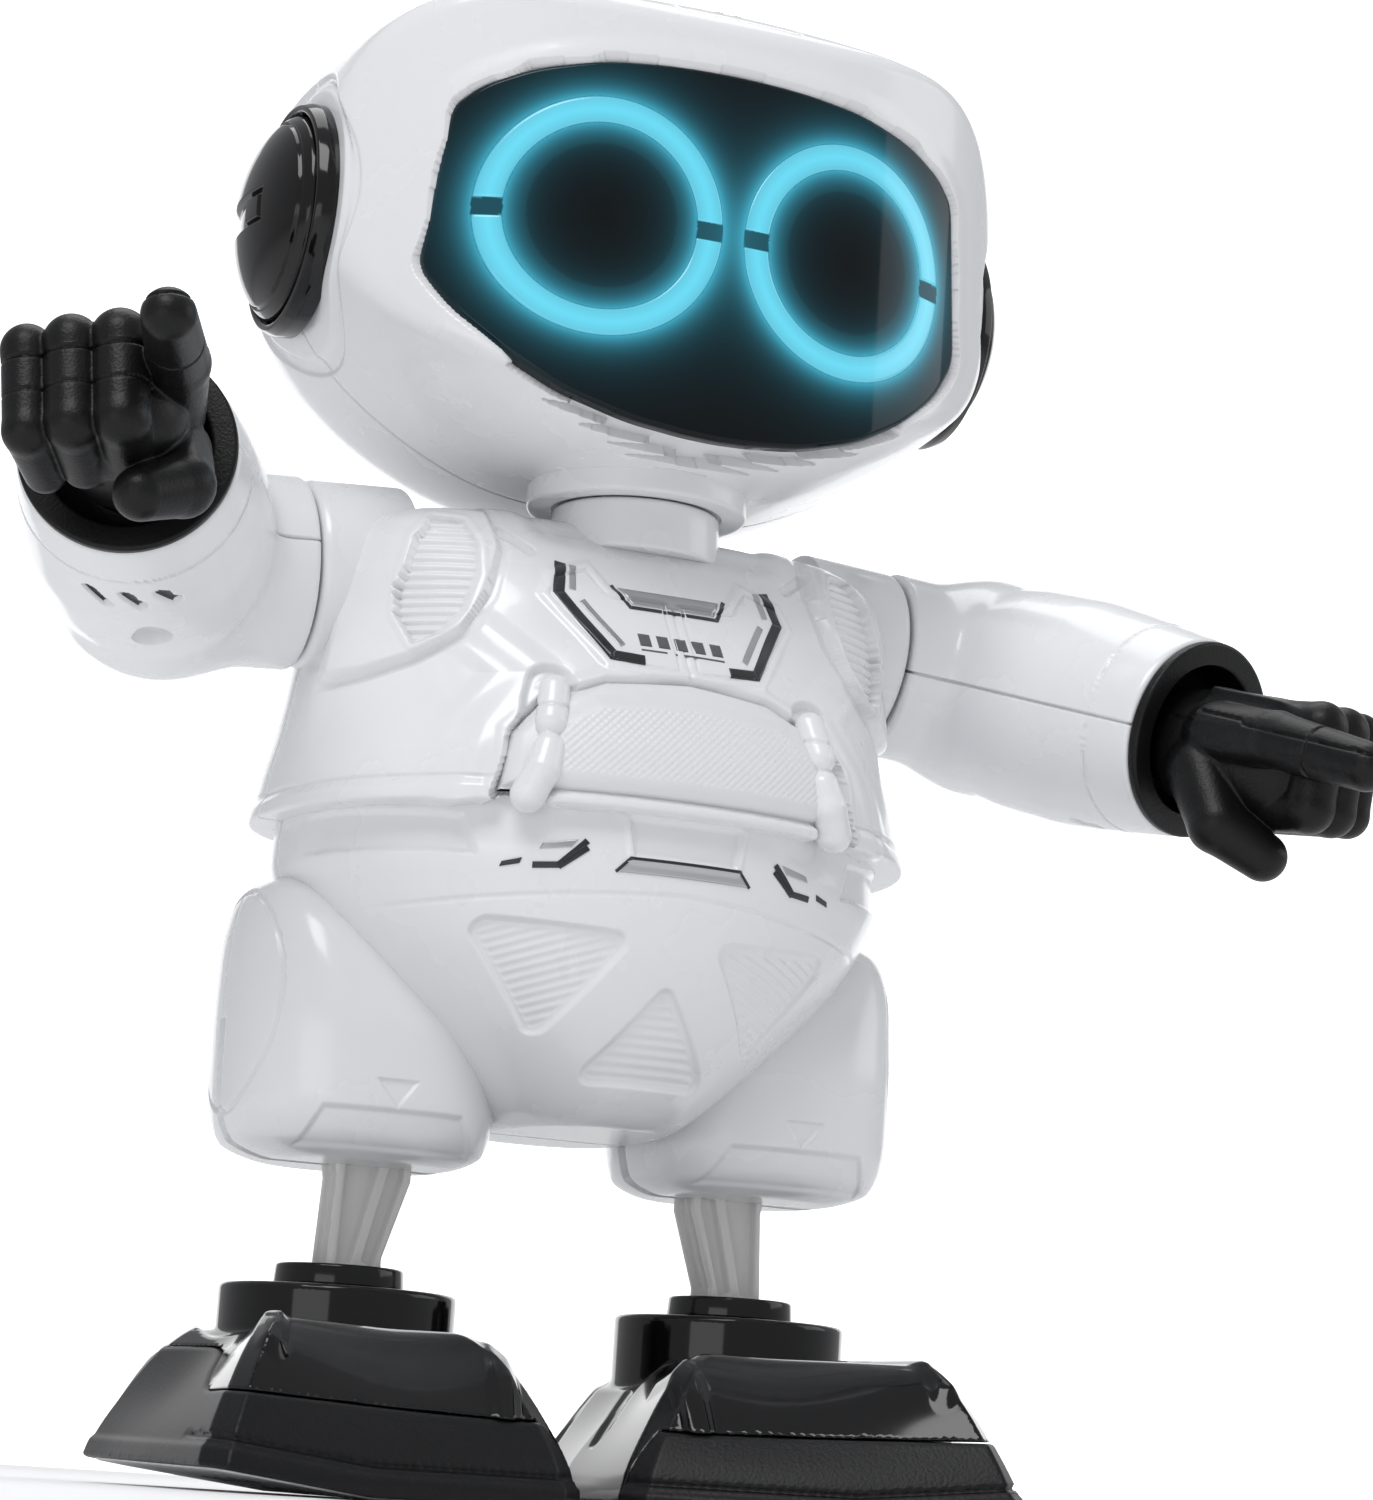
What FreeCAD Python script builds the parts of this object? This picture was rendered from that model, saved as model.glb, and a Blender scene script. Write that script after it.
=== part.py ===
"""Walking humanoid toy robot: every piece is its own solid, written to parts/NODE.step.

Working frame: millimetres, +Z up, the robot looks along -Y, its own left side is +X, floor at Z = 0.
The working frame is centred on the robot's mirror plane. Each piece is moved by SHIFT when it is
written, so that the row's origin is the middle of the whole object's footprint box at floor level.
"""
import os
from math import sin, cos, pi, radians, sqrt, atan2, hypot

import FreeCAD
import Part

V = FreeCAD.Vector

# ---------------------------------------------------------------- driving dimensions (mm)
SHIFT = V(0.0, 0.0, 0.0)      # set from BOX_CENTRE below
BOX_CENTRE = (-0.821, -14.884)   # centre of the assembled robot in plan, taken off every piece
WALL = 2.0                    # moulded shell wall
# head
HEAD_Z = 178.0                # height of the section centre
HEAD_SPLIT_Y = 5.0            # front and rear head shells meet here
VISOR_FRONT_Y = -36.5         # front of the visor on the mirror plane
VISOR_T = 1.8                 # visor thickness
EYE_X, EYE_Z = 18.8, 175.6    # eye ring centre
EYE_RO, EYE_RI = 17.2, 13.3   # eye ring outer and inner radius
EYE_GAP = 2.4                 # split between the upper and the lower arc
EAR_Z, EAR_Y = 179.4, 0.5     # ear centre
EAR_RO = 16.6                 # ear bezel outer radius
EAR_SEAT_X = 50.2             # flat seat of the ear bezel
NECK_Y = -7.0                 # neck axis
HEAD_BASE_Z = 143.4
# torso
SHOULDER = (37.3, 7.5, 129.3)  # centre of the shoulder hub where it leaves the vest
DROOP = 4.0                   # the shoulder axis points down by this angle, degrees
HUB_LEN, HUB_R = 8.6, 13.6
ARM_R = 13.9                  # upper arm radius
ELBOW_AT = 28.2               # elbow centre along the shoulder axis
ELBOW_R = 16.6
ELBOW_BEND = 68.0             # fixed bend of the moulded arm, degrees
FORE_L = 42.0                 # elbow centre to cuff mouth
CUFF_RO, CUFF_RI = 14.6, 11.9
RAISE_L, RAISE_R = -15.4, 9.3  # stored shoulder angles of the two arms
PIN_R, BORE_R = 3.0, 3.05
# legs
LEG_X, LEG_Y = 30.1, 10.6
HIP_Z, ANKLE_Z = 66.0, 23.0
SWAY = 6.0
TOE = 6.35                    # both feet are stored turned this far towards the robot's right
TURRET_R = 16.7               # large disc of the shoe
DISC_R = 9.2                  # small disc of the ankle
DISC_TOP = 31.6
THIGH_SLIT = 2.2
# drive
MOD, T_PINION, T_GEAR = 0.8, 12, 36
GEAR_POS = (0.0, 71.5)        # x, z of the crank gear's axle, parallel to Y
SHIFT = V(-BOX_CENTRE[0], -BOX_CENTRE[1], 0.0)


# ---------------------------------------------------------------- helpers
def box(x0, x1, y0, y1, z0, z1):
    return Part.makeBox(x1 - x0, y1 - y0, z1 - z0, V(x0, y0, z0))


def cyl(r, h, p, d):
    return Part.makeCylinder(r, h, V(*p), V(*d))


def loop(points):
    """Closed smooth wire through points."""
    c = Part.BSplineCurve()
    c.interpolate(Points=[V(*p) for p in points], PeriodicFlag=True)
    return Part.Wire([c.toShape()])


def poly(points):
    pts = [V(*p) for p in points]
    return Part.Wire(Part.makePolygon(pts + [pts[0]]).Edges)


def loft(wires):
    s = Part.makeLoft(wires, True, False)
    return s if s.Volume > 0 else s.reversed()


def prism(points, d):
    """Straight extrusion of a closed polygon along vector d."""
    s = Part.Face(poly(points)).extrude(V(*d))
    return s


def fuse(items):
    s = items[0]
    for o in items[1:]:
        s = s.fuse(o)
    return s.removeSplitter()


def mirror(s):
    return s.mirror(V(0, 0, 0), V(1, 0, 0))


def capsule(p, q, r0, r1):
    """Finger segment: two balls and the cone or rod between them."""
    p, q = V(*p), V(*q)
    d = q.sub(p)
    L = d.Length
    items = [Part.makeSphere(r0, p), Part.makeSphere(r1, q)]
    if abs(r0 - r1) < 1e-3:
        items.append(Part.makeCylinder(r0, L, p, d))
    else:
        k = (r0 - r1) / L
        c = sqrt(max(0.0, 1 - k * k))
        u = V(d).normalize()
        a = p + u * (r0 * k)
        b = q + u * (r1 * k)
        items.append(Part.makeCone(r0 * c, r1 * c, b.sub(a).Length, a, d))
    return fuse(items)


def biggest(s):
    return max(s.Solids, key=lambda x: x.Volume)


def solids(s, least=1.0):
    """One compound of the real solids, without specks."""
    k = [x for x in s.Solids if x.Volume > least]
    return k[0] if len(k) == 1 else Part.makeCompound(k)


PARTS = {}


def put(name, shape):
    PARTS[name] = shape


# ---------------------------------------------------------------- head
HALF = [(0, 143.6), (11, 143.8), (21, 145.4), (31, 149.4), (39.5, 154.6), (46.5, 161.0),
        (51.0, 168.5), (52.8, 177.5), (52.9, 187.0), (51.2, 196.5), (46.6, 204.6), (38.5, 209.6),
        (27, 211.9), (13, 213.0), (0, 213.3)]


def head_ring(y, sx, sz, dz=0.0, off=0.0):
    pts = []
    half = HALF + [(-x, z) for x, z in reversed(HALF[1:-1])]
    for x, z in half:
        px, pz = x * sx, (z - HEAD_Z) * sz
        if off:
            n = hypot(px / 53.0, pz / 35.0)
            k = max(0.05, 1 - off / max(1e-6, hypot(px, pz))) if n > 0 else 1
            px, pz = px * k, pz * k
        pts.append((px, y, HEAD_Z + pz + dz))
    return loop(pts)


HEAD_SECT = [(-37.5, .72, .75, 0.0), (-31.0, .83, .865, 0.0), (-24.0, .90, .925, 0), (-12.0, .955, .975, 0), (2.0, .995, 1.0, 0),
             (14.0, 1.01, 1.0, 0), (25.0, .965, .955, 0.2), (34.0, .84, .83, 0.5), (40.0, .66, .64, 0.8),
             (43.0, .42, .40, 1.0)]
head_out = loft([head_ring(*s) for s in HEAD_SECT])
head_in = loft([head_ring(y * (1 - 2.2 / 41.0), sx, sz, dz, WALL) for y, sx, sz, dz in HEAD_SECT])


def face_y(x):
    """Front surface of the visor, curving back towards the ears."""
    return VISOR_FRONT_Y + x * x / 220.0 + 2.6e-6 * x ** 4


def behind(depth, z0=100, z1=240):
    """Everything behind the visor surface moved back by depth."""
    xs = [-66 + 6 * i for i in range(23)]
    c = Part.BSplineCurve()
    c.interpolate(Points=[V(x, face_y(x) + depth, z0) for x in xs])
    a, b = V(xs[0], face_y(xs[0]) + depth, z0), V(xs[-1], face_y(xs[-1]) + depth, z0)
    w = Part.Wire([c.toShape(), Part.makeLine(b, V(b.x, 120, z0)), Part.makeLine(V(b.x, 120, z0), V(a.x, 120, z0)), Part.makeLine(V(a.x, 120, z0), a)])
    return Part.Face(w).extrude(V(0, 0, z1 - z0))


face_0, face_t, face_g = behind(0), behind(VISOR_T), behind(VISOR_T + 0.1)
head_out = head_out.common(behind(-0.1))
head_in = head_in.common(behind(VISOR_T + 1.6))

VISOR_HALF = [(0, 199.0), (10, 198.8), (20, 198.0), (29, 196.0), (35.5, 193.2), (39.0, 190.2), (39.8, 183),
              (41.0, 174), (42.0, 167.0), (37, 160.6), (30, 154.6), (22.5, 150.2), (13, 147.2), (5, 146.2), (0, 146.0)]


def visor_prism(grow=0.0, y0=-60, y1=0):
    pts = []
    full = VISOR_HALF + [(-x, z) for x, z in reversed(VISOR_HALF[1:-1])]
    cz = 174.0
    for x, z in full:
        r = hypot(x, z - cz)
        k = 1 + grow / r
        pts.append((x * k, y0, cz + (z - cz) * k))
    return Part.Face(poly(pts)).extrude(V(0, y1 - y0, 0))


# raised ribs on top of the head, running front to back
def head_rib(sx):
    r = box(25.5, 37.5, -24, 22, 196, 214.4)
    r = r.common(loft([head_ring(y, sx_ * 1.045, sz_ * 1.052, dz_) for y, sx_, sz_, dz_ in HEAD_SECT[1:-2]]))
    return r if sx > 0 else mirror(r)


head_out = fuse([head_out, head_rib(1), head_rib(-1)])
shell = head_out.cut(head_in)
for sx in (1, -1):
    seat = cyl(EAR_RO + 3.4, 20, (sx * EAR_SEAT_X, EAR_Y, EAR_Z), (sx, 0, 0))
    shell = shell.cut(seat)
    # boss behind the ear seat keeps the wall closed
    back = cyl(EAR_RO + 4.6, WALL, (sx * (EAR_SEAT_X - WALL), EAR_Y, EAR_Z), (sx, 0, 0)).common(head_out)
    shell = shell.fuse(back)
# neck opening and the two screw posts inside
shell = shell.cut(cyl(10.4, 14, (0, NECK_Y, 138), (0, 0, 1)))
shell = shell.cut(visor_prism(0.15, -60, -12).cut(face_g))
shell = shell.cut(visor_prism(-3.0, -60, -12))
# press button opening in the front slope of the crown
BTN = (0.0, -14.0)
shell = shell.cut(cyl(7.25, 30, (BTN[0], BTN[1], 200), (0, 0, 1)))
front = shell.common(box(-70, 70, -60, HEAD_SPLIT_Y, 120, 230))
rear = shell.common(box(-70, 70, HEAD_SPLIT_Y + 0.05, 60, 120, 230))
HEAD_SCREWS = [(-30, 197), (30, 197), (-26, 157), (26, 157)]
for x, z in HEAD_SCREWS:
    rear = rear.cut(cyl(2.6, 40, (x, 25.0, z), (0, 1, 0)))
    post = cyl(3.6, 26, (x, HEAD_SPLIT_Y + 0.05, z), (0, 1, 0)).common(head_out)
    rear = rear.fuse(post.cut(cyl(1.55, 60, (x, -5, z), (0, 1, 0))).cut(cyl(2.6, 30, (x, 25.0, z), (0, 1, 0))))
put("head_front_shell", biggest(front))
put("head_rear_shell", biggest(rear))
put("head_screws", Part.makeCompound([
    cyl(1.5, 18, (x, 7.2, z), (0, 1, 0)).fuse(cyl(2.4, 1.6, (x, 25.05, z), (0, 1, 0))) for x, z in HEAD_SCREWS]))

# visor, light guides and the lamp board behind them
visor = visor_prism(0.0, -60, -10).common(face_0.cut(face_t))


def eye_arcs(ro, ri, gap, y0, y1, sx):
    ring = cyl(ro, y1 - y0, (sx * EYE_X, y0, EYE_Z), (0, 1, 0)).cut(cyl(ri, y1 - y0 + 2, (sx * EYE_X, y0 - 1, EYE_Z), (0, 1, 0)))
    return ring.cut(box(sx * EYE_X - ro - 1, sx * EYE_X + ro + 1, y0 - 1, y1 + 1, EYE_Z - gap / 2, EYE_Z + gap / 2))


for sx in (1, -1):
    visor = visor.cut(eye_arcs(EYE_RO, EYE_RI, EYE_GAP, -60, -20, sx))
visor = solids(visor)
put("visor", visor)
for sx, side in ((1, "left"), (-1, "right")):
    arcs = eye_arcs(EYE_RO - 0.08, EYE_RI + 0.08, EYE_GAP + 0.16, -60, -20, sx).common(
        behind(0.05).cut(face_g))
    base = cyl(EYE_RO + 1.0, 30, (sx * EYE_X, -50, EYE_Z), (0, 1, 0)).cut(cyl(EYE_RI - 1.0, 40, (sx * EYE_X, -55, EYE_Z), (0, 1, 0)))
    base = base.common(face_g.cut(behind(VISOR_T + 1.3)))
    put(side + "_eye_light_guide", solids(arcs.fuse(base).removeSplitter()))
board = box(-31, 31, -25.0, -23.4, 163, 188)
leds = [cyl(2.4, 1.4, (sx * EYE_X + 14.2 * cos(a), -26.4, EYE_Z + 10.6 * sin(a)), (0, 1, 0)) for sx in (1, -1) for a in (0.6, 2.54, 3.74, 5.68)]
board = board.common(behind(VISOR_T + 2.6))
leds = [c.common(behind(VISOR_T + 1.5)) for c in leds]
put("eye_lamp_board", solids(fuse([board] + leds)))

# ears
for sx, side in ((1, "left"), (-1, "right")):
    c = (sx * (EAR_SEAT_X + 0.02), EAR_Y, EAR_Z)
    bez = cyl(EAR_RO, 3.6, c, (sx, 0, 0)).fuse(Part.makeCone(EAR_RO, EAR_RO - 1.3, 1.3, V(c[0] + sx * 3.6, c[1], c[2]), V(sx, 0, 0)))
    bez = bez.cut(cyl(EAR_RO - 2.4, 10, (c[0] - sx * 1, c[1], c[2]), (sx, 0, 0)))
    put(side + "_ear_bezel", bez)
    r = EAR_RO - 2.5
    h = 6.6
    R = (r * r + h * h) / (2 * h)
    x0 = EAR_SEAT_X + 4.4
    dome = Part.makeSphere(R, V(sx * (x0 + h - R), EAR_Y, EAR_Z)).common(cyl(r, 20, (sx * x0, EAR_Y, EAR_Z), (sx, 0, 0)))
    cap = cyl(r, 4.4, (sx * (EAR_SEAT_X + 0.02), EAR_Y, EAR_Z), (sx, 0, 0)).fuse(dome).removeSplitter()
    cap = cap.cut(box(min(sx * (x0 + 4.2), sx * (x0 + 12)), max(sx * (x0 + 4.2), sx * (x0 + 12)), EAR_Y - 6.0, EAR_Y + 16, EAR_Z - 3.1, EAR_Z + 1.5))
    key = box(min(sx * (x0 + 2), sx * (x0 + 5.6)), max(sx * (x0 + 2), sx * (x0 + 5.6)), EAR_Y - 5.8, EAR_Y + 1.0, EAR_Z - 2.9, EAR_Z + 1.3)
    put(side + "_ear_cap", biggest(cap.fuse(key).removeSplitter()))

# head-top press button: a round cap guided in the crown, on its own spring-returned plunger
top_z = 212.9
btn = cyl(7.0, 5.2, (BTN[0], BTN[1], top_z - 4.4), (0, 0, 1)).fuse(cyl(8.6, 1.2, (BTN[0], BTN[1], top_z - 5.6), (0, 0, 1)))
put("head_button", btn.removeSplitter())

# neck
put("neck_collar", cyl(16.0, 3.6, (0, NECK_Y, 141.2), (0, 0, 1)).fuse(cyl(10.3, 7.0, (0, NECK_Y, 141.2), (0, 0, 1))).cut(
    cyl(6.06, 20, (0, NECK_Y, 138), (0, 0, 1))).cut(head_out.cut(cyl(10.35, 60, (0, NECK_Y, 120), (0, 0, 1)))).removeSplitter())
PARTS["neck_collar"] = biggest(PARTS["neck_collar"])
neck = cyl(13.2, 6.2, (0, NECK_Y, 134.6), (0, 0, 1)).fuse(cyl(6.0, 18.4, (0, NECK_Y, 134.6), (0, 0, 1))).fuse(
    cyl(8.2, 1.8, (0, NECK_Y, 148.8), (0, 0, 1))).cut(cyl(3.6, 40, (0, NECK_Y, 130), (0, 0, 1))).removeSplitter()
put("neck_post", neck)
PARTS["neck_collar"] = PARTS["neck_collar"].cut(cyl(8.6, 10, (0, NECK_Y, 148.4), (0, 0, 1)))


# ---------------------------------------------------------------- torso
def oval(z, a, bf, bb, yc, n=2.4, N=28, off=0.0):
    """Closed section: half width a, front depth bf and rear depth bb about yc."""
    pts = []
    for i in range(N):
        t = 2 * pi * i / N
        c, s = cos(t), sin(t)
        b = bb if s > 0 else bf
        x = (a - off) * (abs(c) ** (2.0 / n)) * (1 if c >= 0 else -1)
        y = (b - off) * (abs(s) ** (2.0 / n)) * (1 if s >= 0 else -1)
        pts.append((x, yc + y, z))
    return loop(pts)


BELLY = [(52.2, 12.5, 26.5, 15.0, 9, 2.4), (56.0, 17.5, 31.0, 19.0, 9, 2.3), (62.0, 24.5, 35.4, 22.5, 9, 2.2), (69.0, 32.0, 38.6, 25.5, 9, 2.15),
         (76.0, 38.4, 41.0, 27.2, 9, 2.1), (82.0, 42.4, 42.4, 28.0, 9, 2.05), (88.0, 44.6, 43.2, 28.4, 9, 2.05), (94.0, 44.2, 42.6, 28.2, 9, 2.05),
         (101.0, 42.6, 41.0, 27.6, 9, 2.05)]
belly_out = loft([oval(*s) for s in BELLY])
belly_in = loft([oval(z + (WALL if i == 0 else 0), a, bf, bb, yc, n, off=WALL) for i, (z, a, bf, bb, yc, n) in enumerate(BELLY)] )
belly = belly_out.cut(belly_in)

VEST = [(93.6, 47.6, 45.2, 30.6, 9.5, 2.2), (100.0, 46.6, 44.8, 30.2, 9.5, 2.15), (107.0, 45.0, 43.0, 29.4, 9.5, 2.1), (115.5, 43.6, 38.8, 28.0, 9.2, 2.15),
        (122.0, 42.6, 33.6, 26.4, 9, 2.4), (128.0, 41.8, 29.4, 24.4, 9, 2.8), (134.0, 40.0, 25.4, 21.0, 9, 3.0), (138.0, 34.0, 21.0, 16.0, 8, 2.8),
        (139.8, 25.0, 16.0, 10.5, 6, 2.5)]
vest_out = loft([oval(*s) for s in VEST])
vest_in = loft([oval(93.5 if i == 0 else z - (WALL if i >= len(VEST) - 2 else 0), a, bf, bb, yc, n, off=WALL) for i, (z, a, bf, bb, yc, n) in enumerate(VEST)])
vest = vest_out.cut(vest_in)
# the vest hangs over the belly shell: clear it
vest = vest.cut(loft([oval(z, a + .1, bf + .1, bb + .1, yc, n) for z, a, bf, bb, yc, n in BELLY[4:]]))

hubs = []
for sx in (1, -1):
    d = (sx * cos(radians(DROOP)), 0, -sin(radians(DROOP)))
    p = (sx * (SHOULDER[0] - 4.0), SHOULDER[1], SHOULDER[2] + 4.0 * sin(radians(DROOP)))
    hubs.append(cyl(HUB_R, HUB_LEN + 4.0, p, d))
neck_hole = cyl(13.3, 20, (0, NECK_Y, 130), (0, 0, 1))
for h in hubs:
    vest = vest.cut(h)
vest = vest.cut(neck_hole)
vest_f = vest.common(box(-60, 60, -60, 9, 80, 150))
vest_r = vest.common(box(-60, 60, 9.05, 60, 80, 150))
# pocket panel sits in a window of the vest front
POCKET = [(-26, 95.5), (-24.6, 103.0), (-20.0, 108.2), (-12, 111.6), (0, 112.8), (12, 111.6), (20.0, 108.2), (24.6, 103.0), (26, 95.5)]


def pocket(grow, y0, y1):
    pts = [(x * (1 + grow / 25.0), y0, 103 + (z - 103) * (1 + grow / 10.0)) for x, z in POCKET]
    return Part.Face(poly(pts)).extrude(V(0, y1 - y0, 0))


win = pocket(0.0, -60, -10)
vest_f = vest_f.cut(win)
put("vest_front", solids(vest_f))
put("vest_rear", solids(vest_r))
pk_out = loft([oval(z, a, bf, bb, yc, n, off=-1.5) for z, a, bf, bb, yc, n in VEST[:4]])
pk = pocket(-0.12, -60, -10).common(pk_out).cut(loft([oval(z, a + .15, bf + .15, bb + .15, yc, n) for z, a, bf, bb, yc, n in BELLY[4:]]))
pk = pk.common(box(-60, 60, -60, -15, 95.6, 113.6)).cut(loft([oval(z, a, bf, bb, yc, n, off=WALL + .6) for z, a, bf, bb, yc, n in VEST[:4]]))
# speaker slots through the panel
for i in range(9):
    x = -12 + 3 * i
    pk = pk.cut(box(x - .45, x + .45, -60, -20, 101.5, 108.5))
put("pocket_panel", biggest(pk))
# strap toggles, one each side, pegged on the vest beside the pocket
tog = []
for sx in (1, -1):
    up = capsule((sx * 19.2, -29.0, 109.0), (sx * 19.9, -31.0, 104.4), 2.1, 2.2)
    lo = capsule((sx * 20.4, -32.4, 100.6), (sx * 22.0, -31.4, 95.0), 2.2, 2.6)
    li = cyl(1.4, 5.0, (sx * 19.9, -31.0, 104.4), (sx * 0.5, -1.4, -3.8))
    tg = fuse([up, lo, li]).cut(PARTS["pocket_panel"]).cut(PARTS["vest_front"])
    tog.append(biggest(tg))
put("strap_toggles", Part.makeCompound(tog))

# thigh covers: front and rear half pods, open along the slit the leg swings in
THIGH = [(45.6, 29.6, 14.6, 16.0, 10), (48.0, 30.2, 17.8, 18.8, 10), (54.0, 30.6, 19.2, 20.6, 10), (63.0, 31.2, 18.8, 20.4, 10), (71.0, 34.0, 16.0, 18.4, 10),
         (77.5, 37.6, 12.0, 15.2, 10), (82.5, 40.4, 7.8, 10.6, 10), (85.0, 41.6, 4.2, 6.0, 10)]


def pod(off, sx):
    w = []
    for i, (z, cx, a, b, yc) in enumerate(THIGH):
        if off and i == 0:
            z = z + 0.0
        pts = []
        for k in range(24):
            t = 2 * pi * k / 24
            c, s = cos(t), sin(t)
            aa, bb = max(1.2, a - off), max(1.2, b - off)
            pts.append((sx * (cx + aa * (abs(c) ** .8) * (1 if c >= 0 else -1)), yc + bb * (abs(s) ** .8) * (1 if s >= 0 else -1), z - (0.1 if off and i == 0 else 0) - (off if i == len(THIGH) - 1 else 0)))
        w.append(loop(pts if sx > 0 else list(reversed(pts))))
    return loft(w)


belly_clear = loft([oval(z - (0.4 if i == 0 else 0), a + .3, bf + .3, bb + .3, yc, n) for i, (z, a, bf, bb, yc, n) in enumerate(BELLY)])
for sx, side in ((1, "left"), (-1, "right")):
    p = pod(0, sx).cut(pod(WALL, sx))
    p = p.cut(belly_clear)
    # the leg comes down through the open foot of the pod
    y0 = LEG_Y - THIGH_SLIT / 2
    slit = box(-60, 60, y0, y0 + THIGH_SLIT, 40, HIP_Z - 1)
    p = p.cut(slit)
    f = p.common(box(-60, 60, -60, LEG_Y - .03, 40, 90))
    r = p.common(box(-60, 60, LEG_Y + .03, 60, 40, 90))
    bos_f = cyl(4.2, 9.0, (sx * LEG_X, LEG_Y - 14.6, HIP_Z), (0, 1, 0))
    bos_r = cyl(4.2, 9.0, (sx * LEG_X, LEG_Y + 5.6, HIP_Z), (0, 1, 0))
    pinh = cyl(2.0, 31.0, (sx * LEG_X, LEG_Y - 15.5, HIP_Z), (0, 1, 0))
    clear = belly_clear
    f = f.fuse(bos_f.cut(clear)).cut(pinh)
    r = r.fuse(bos_r.cut(clear)).cut(pinh)
    put(side + "_thigh_front", biggest(f.removeSplitter()))
    put(side + "_thigh_rear", biggest(r.removeSplitter()))
put("hip_pins", Part.makeCompound([cyl(2.0, 29.2, (sx * LEG_X, LEG_Y - 14.6, HIP_Z), (0, 1, 0)) for sx in (1, -1)]))

# belly shells: side windows let the hip pins' bosses through
for sx in (1, -1):
    belly = belly.cut(cyl(9.0, 32, (sx * LEG_X, LEG_Y - 16, HIP_Z), (0, 1, 0))).cut(box(min(sx * 20.5, sx * 40), max(sx * 20.5, sx * 40), LEG_Y - 5.2, LEG_Y + 5.2, 50, HIP_Z))
belly = belly.common(box(-60, 60, -60, 60, 50, 101))
DOOR = box(-27, 27, 20, 60, 66, 91)
belly_f = belly.common(box(-60, 60, -60, 9, 40, 120))
belly_r = belly.common(box(-60, 60, 9.05, 60, 40, 120)).cut(DOOR)
put("belly_front_shell", solids(belly_f, 200))
door_in = loft([oval(z, a, bf, bb, yc, n, off=WALL) for z, a, bf, bb, yc, n in BELLY[1:]])
door = belly_out.cut(door_in).common(box(-26.8, 26.8, 20, 60, 66.2, 90.8))
door = door.cut(cyl(1.6, 60, (0, 20, 88), (0, 1, 0))).cut(cyl(2.7, 10, (0, 36.4, 88), (0, 1, 0)))
put("battery_door", biggest(door))
put("battery_door_screw", cyl(1.5, 5.4, (0, 31.2, 88), (0, 1, 0)).fuse(cyl(2.6, 0.9, (0, 36.42, 88), (0, 1, 0))).removeSplitter())

# power switch in the rear shell above the battery door
VENT = box(-6.0, 6.0, 30, 60, 104.0, 108.8)
vr = PARTS["vest_rear"].cut(VENT)
# four screw holes in the rear of the vest
BODY_SCREWS = [(-30, 124), (30, 124), (-31, 105), (31, 105)]


def rear_y(x, z):
    """Outer rear surface of the vest at x, z, linearly between sections."""
    for s, t in zip(VEST, VEST[1:]):
        if s[0] <= z <= t[0]:
            k = (z - s[0]) / (t[0] - s[0])
            a, bb, yc, n = (s[i] + (t[i] - s[i]) * k for i in (1, 3, 4, 5))
            return yc + bb * (1 - (abs(x) / a) ** n) ** (1 / n)
    return 0


scr = []
for x, z in BODY_SCREWS:
    y = rear_y(x, z)
    vr = vr.cut(cyl(2.6, 12, (x, y - 1.1, z), (0, 1, 0))).cut(cyl(1.55, 20, (x, y - 9, z), (0, 1, 0)))
    scr.append(cyl(1.5, 9.0, (x, y - 9.6, z), (0, 1, 0)).fuse(cyl(2.5, 0.9, (x, y - 1.08, z), (0, 1, 0))))
put("vest_rear", solids(vr, 50))
ysw = rear_y(0, 106.4)
knob = box(-4.6, 0.6, ysw - 4.4, ysw + 1.0, 104.3, 108.5).fuse(box(-9.0, 5.0, ysw - 5.2, ysw - 3.7, 103.4, 109.4))
put("power_switch", knob.removeSplitter())
put("belly_rear_shell", solids(belly_r, 200))

# ---------------------------------------------------------------- inside the torso
hs = []
for sx, h in zip((1, -1), hubs):
    d = (sx * cos(radians(DROOP)), 0, -sin(radians(DROOP)))
    o = (sx * (SHOULDER[0] - 8.0), SHOULDER[1], SHOULDER[2] + 8.0 * sin(radians(DROOP)))
    hs.append(h.cut(cyl(PIN_R + .03, 60, o, d)))
put("shoulder_hubs", Part.makeCompound(hs))
put("main_board", box(-24, 24, -14.6, -13.0, 101, 130).fuse(box(-8, 2, -16.4, -14.6, 108, 118)).fuse(box(8, 18, -16.0, -14.6, 104, 110)).removeSplitter())
put("speaker", cyl(12.2, 3.0, (0, -26.8, 102.6), (0, 1, 0)).fuse(cyl(9.5, 5.0, (0, -23.8, 102.6), (0, 1, 0))).removeSplitter())
CELL_R, CELL_L, CELL_Z, CELL_Y = 7.1, 50.0, 72.0, 23.2
cells = [cyl(CELL_R, CELL_L - 1.2, (x, CELL_Y - 0.0, CELL_Z), (0, 0, 1)).fuse(cyl(2.6, 1.2, (x, CELL_Y, CELL_Z + CELL_L - 1.2), (0, 0, 1))) for x in (-15.0, 0, 15.0)]
put("battery_cells", Part.makeCompound([c.removeSplitter() for c in cells]))
tray = box(-23.6, 23.6, 14.2, 24.4, 70.2, 124.2)
for x in (-15.0, 0, 15.0):
    tray = tray.cut(cyl(CELL_R + .12, CELL_L + .6, (x, CELL_Y, CELL_Z - .3), (0, 0, 1))).cut(box(x - CELL_R - .12, x + CELL_R + .12, CELL_Y, 40, CELL_Z - .3, CELL_Z + CELL_L + .3))
put("battery_holder", biggest(tray))
put("drive_motor", fuse([cyl(10.0, 20, (0, -8.6, GEAR_POS[1] + 19.32), (0, 1, 0)).common(box(-10, 10, -20, 20, GEAR_POS[1] + 11.8, GEAR_POS[1] + 26.8)), cyl(3.0, 1.4, (0, -10.0, GEAR_POS[1] + 19.32), (0, 1, 0))]))


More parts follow.
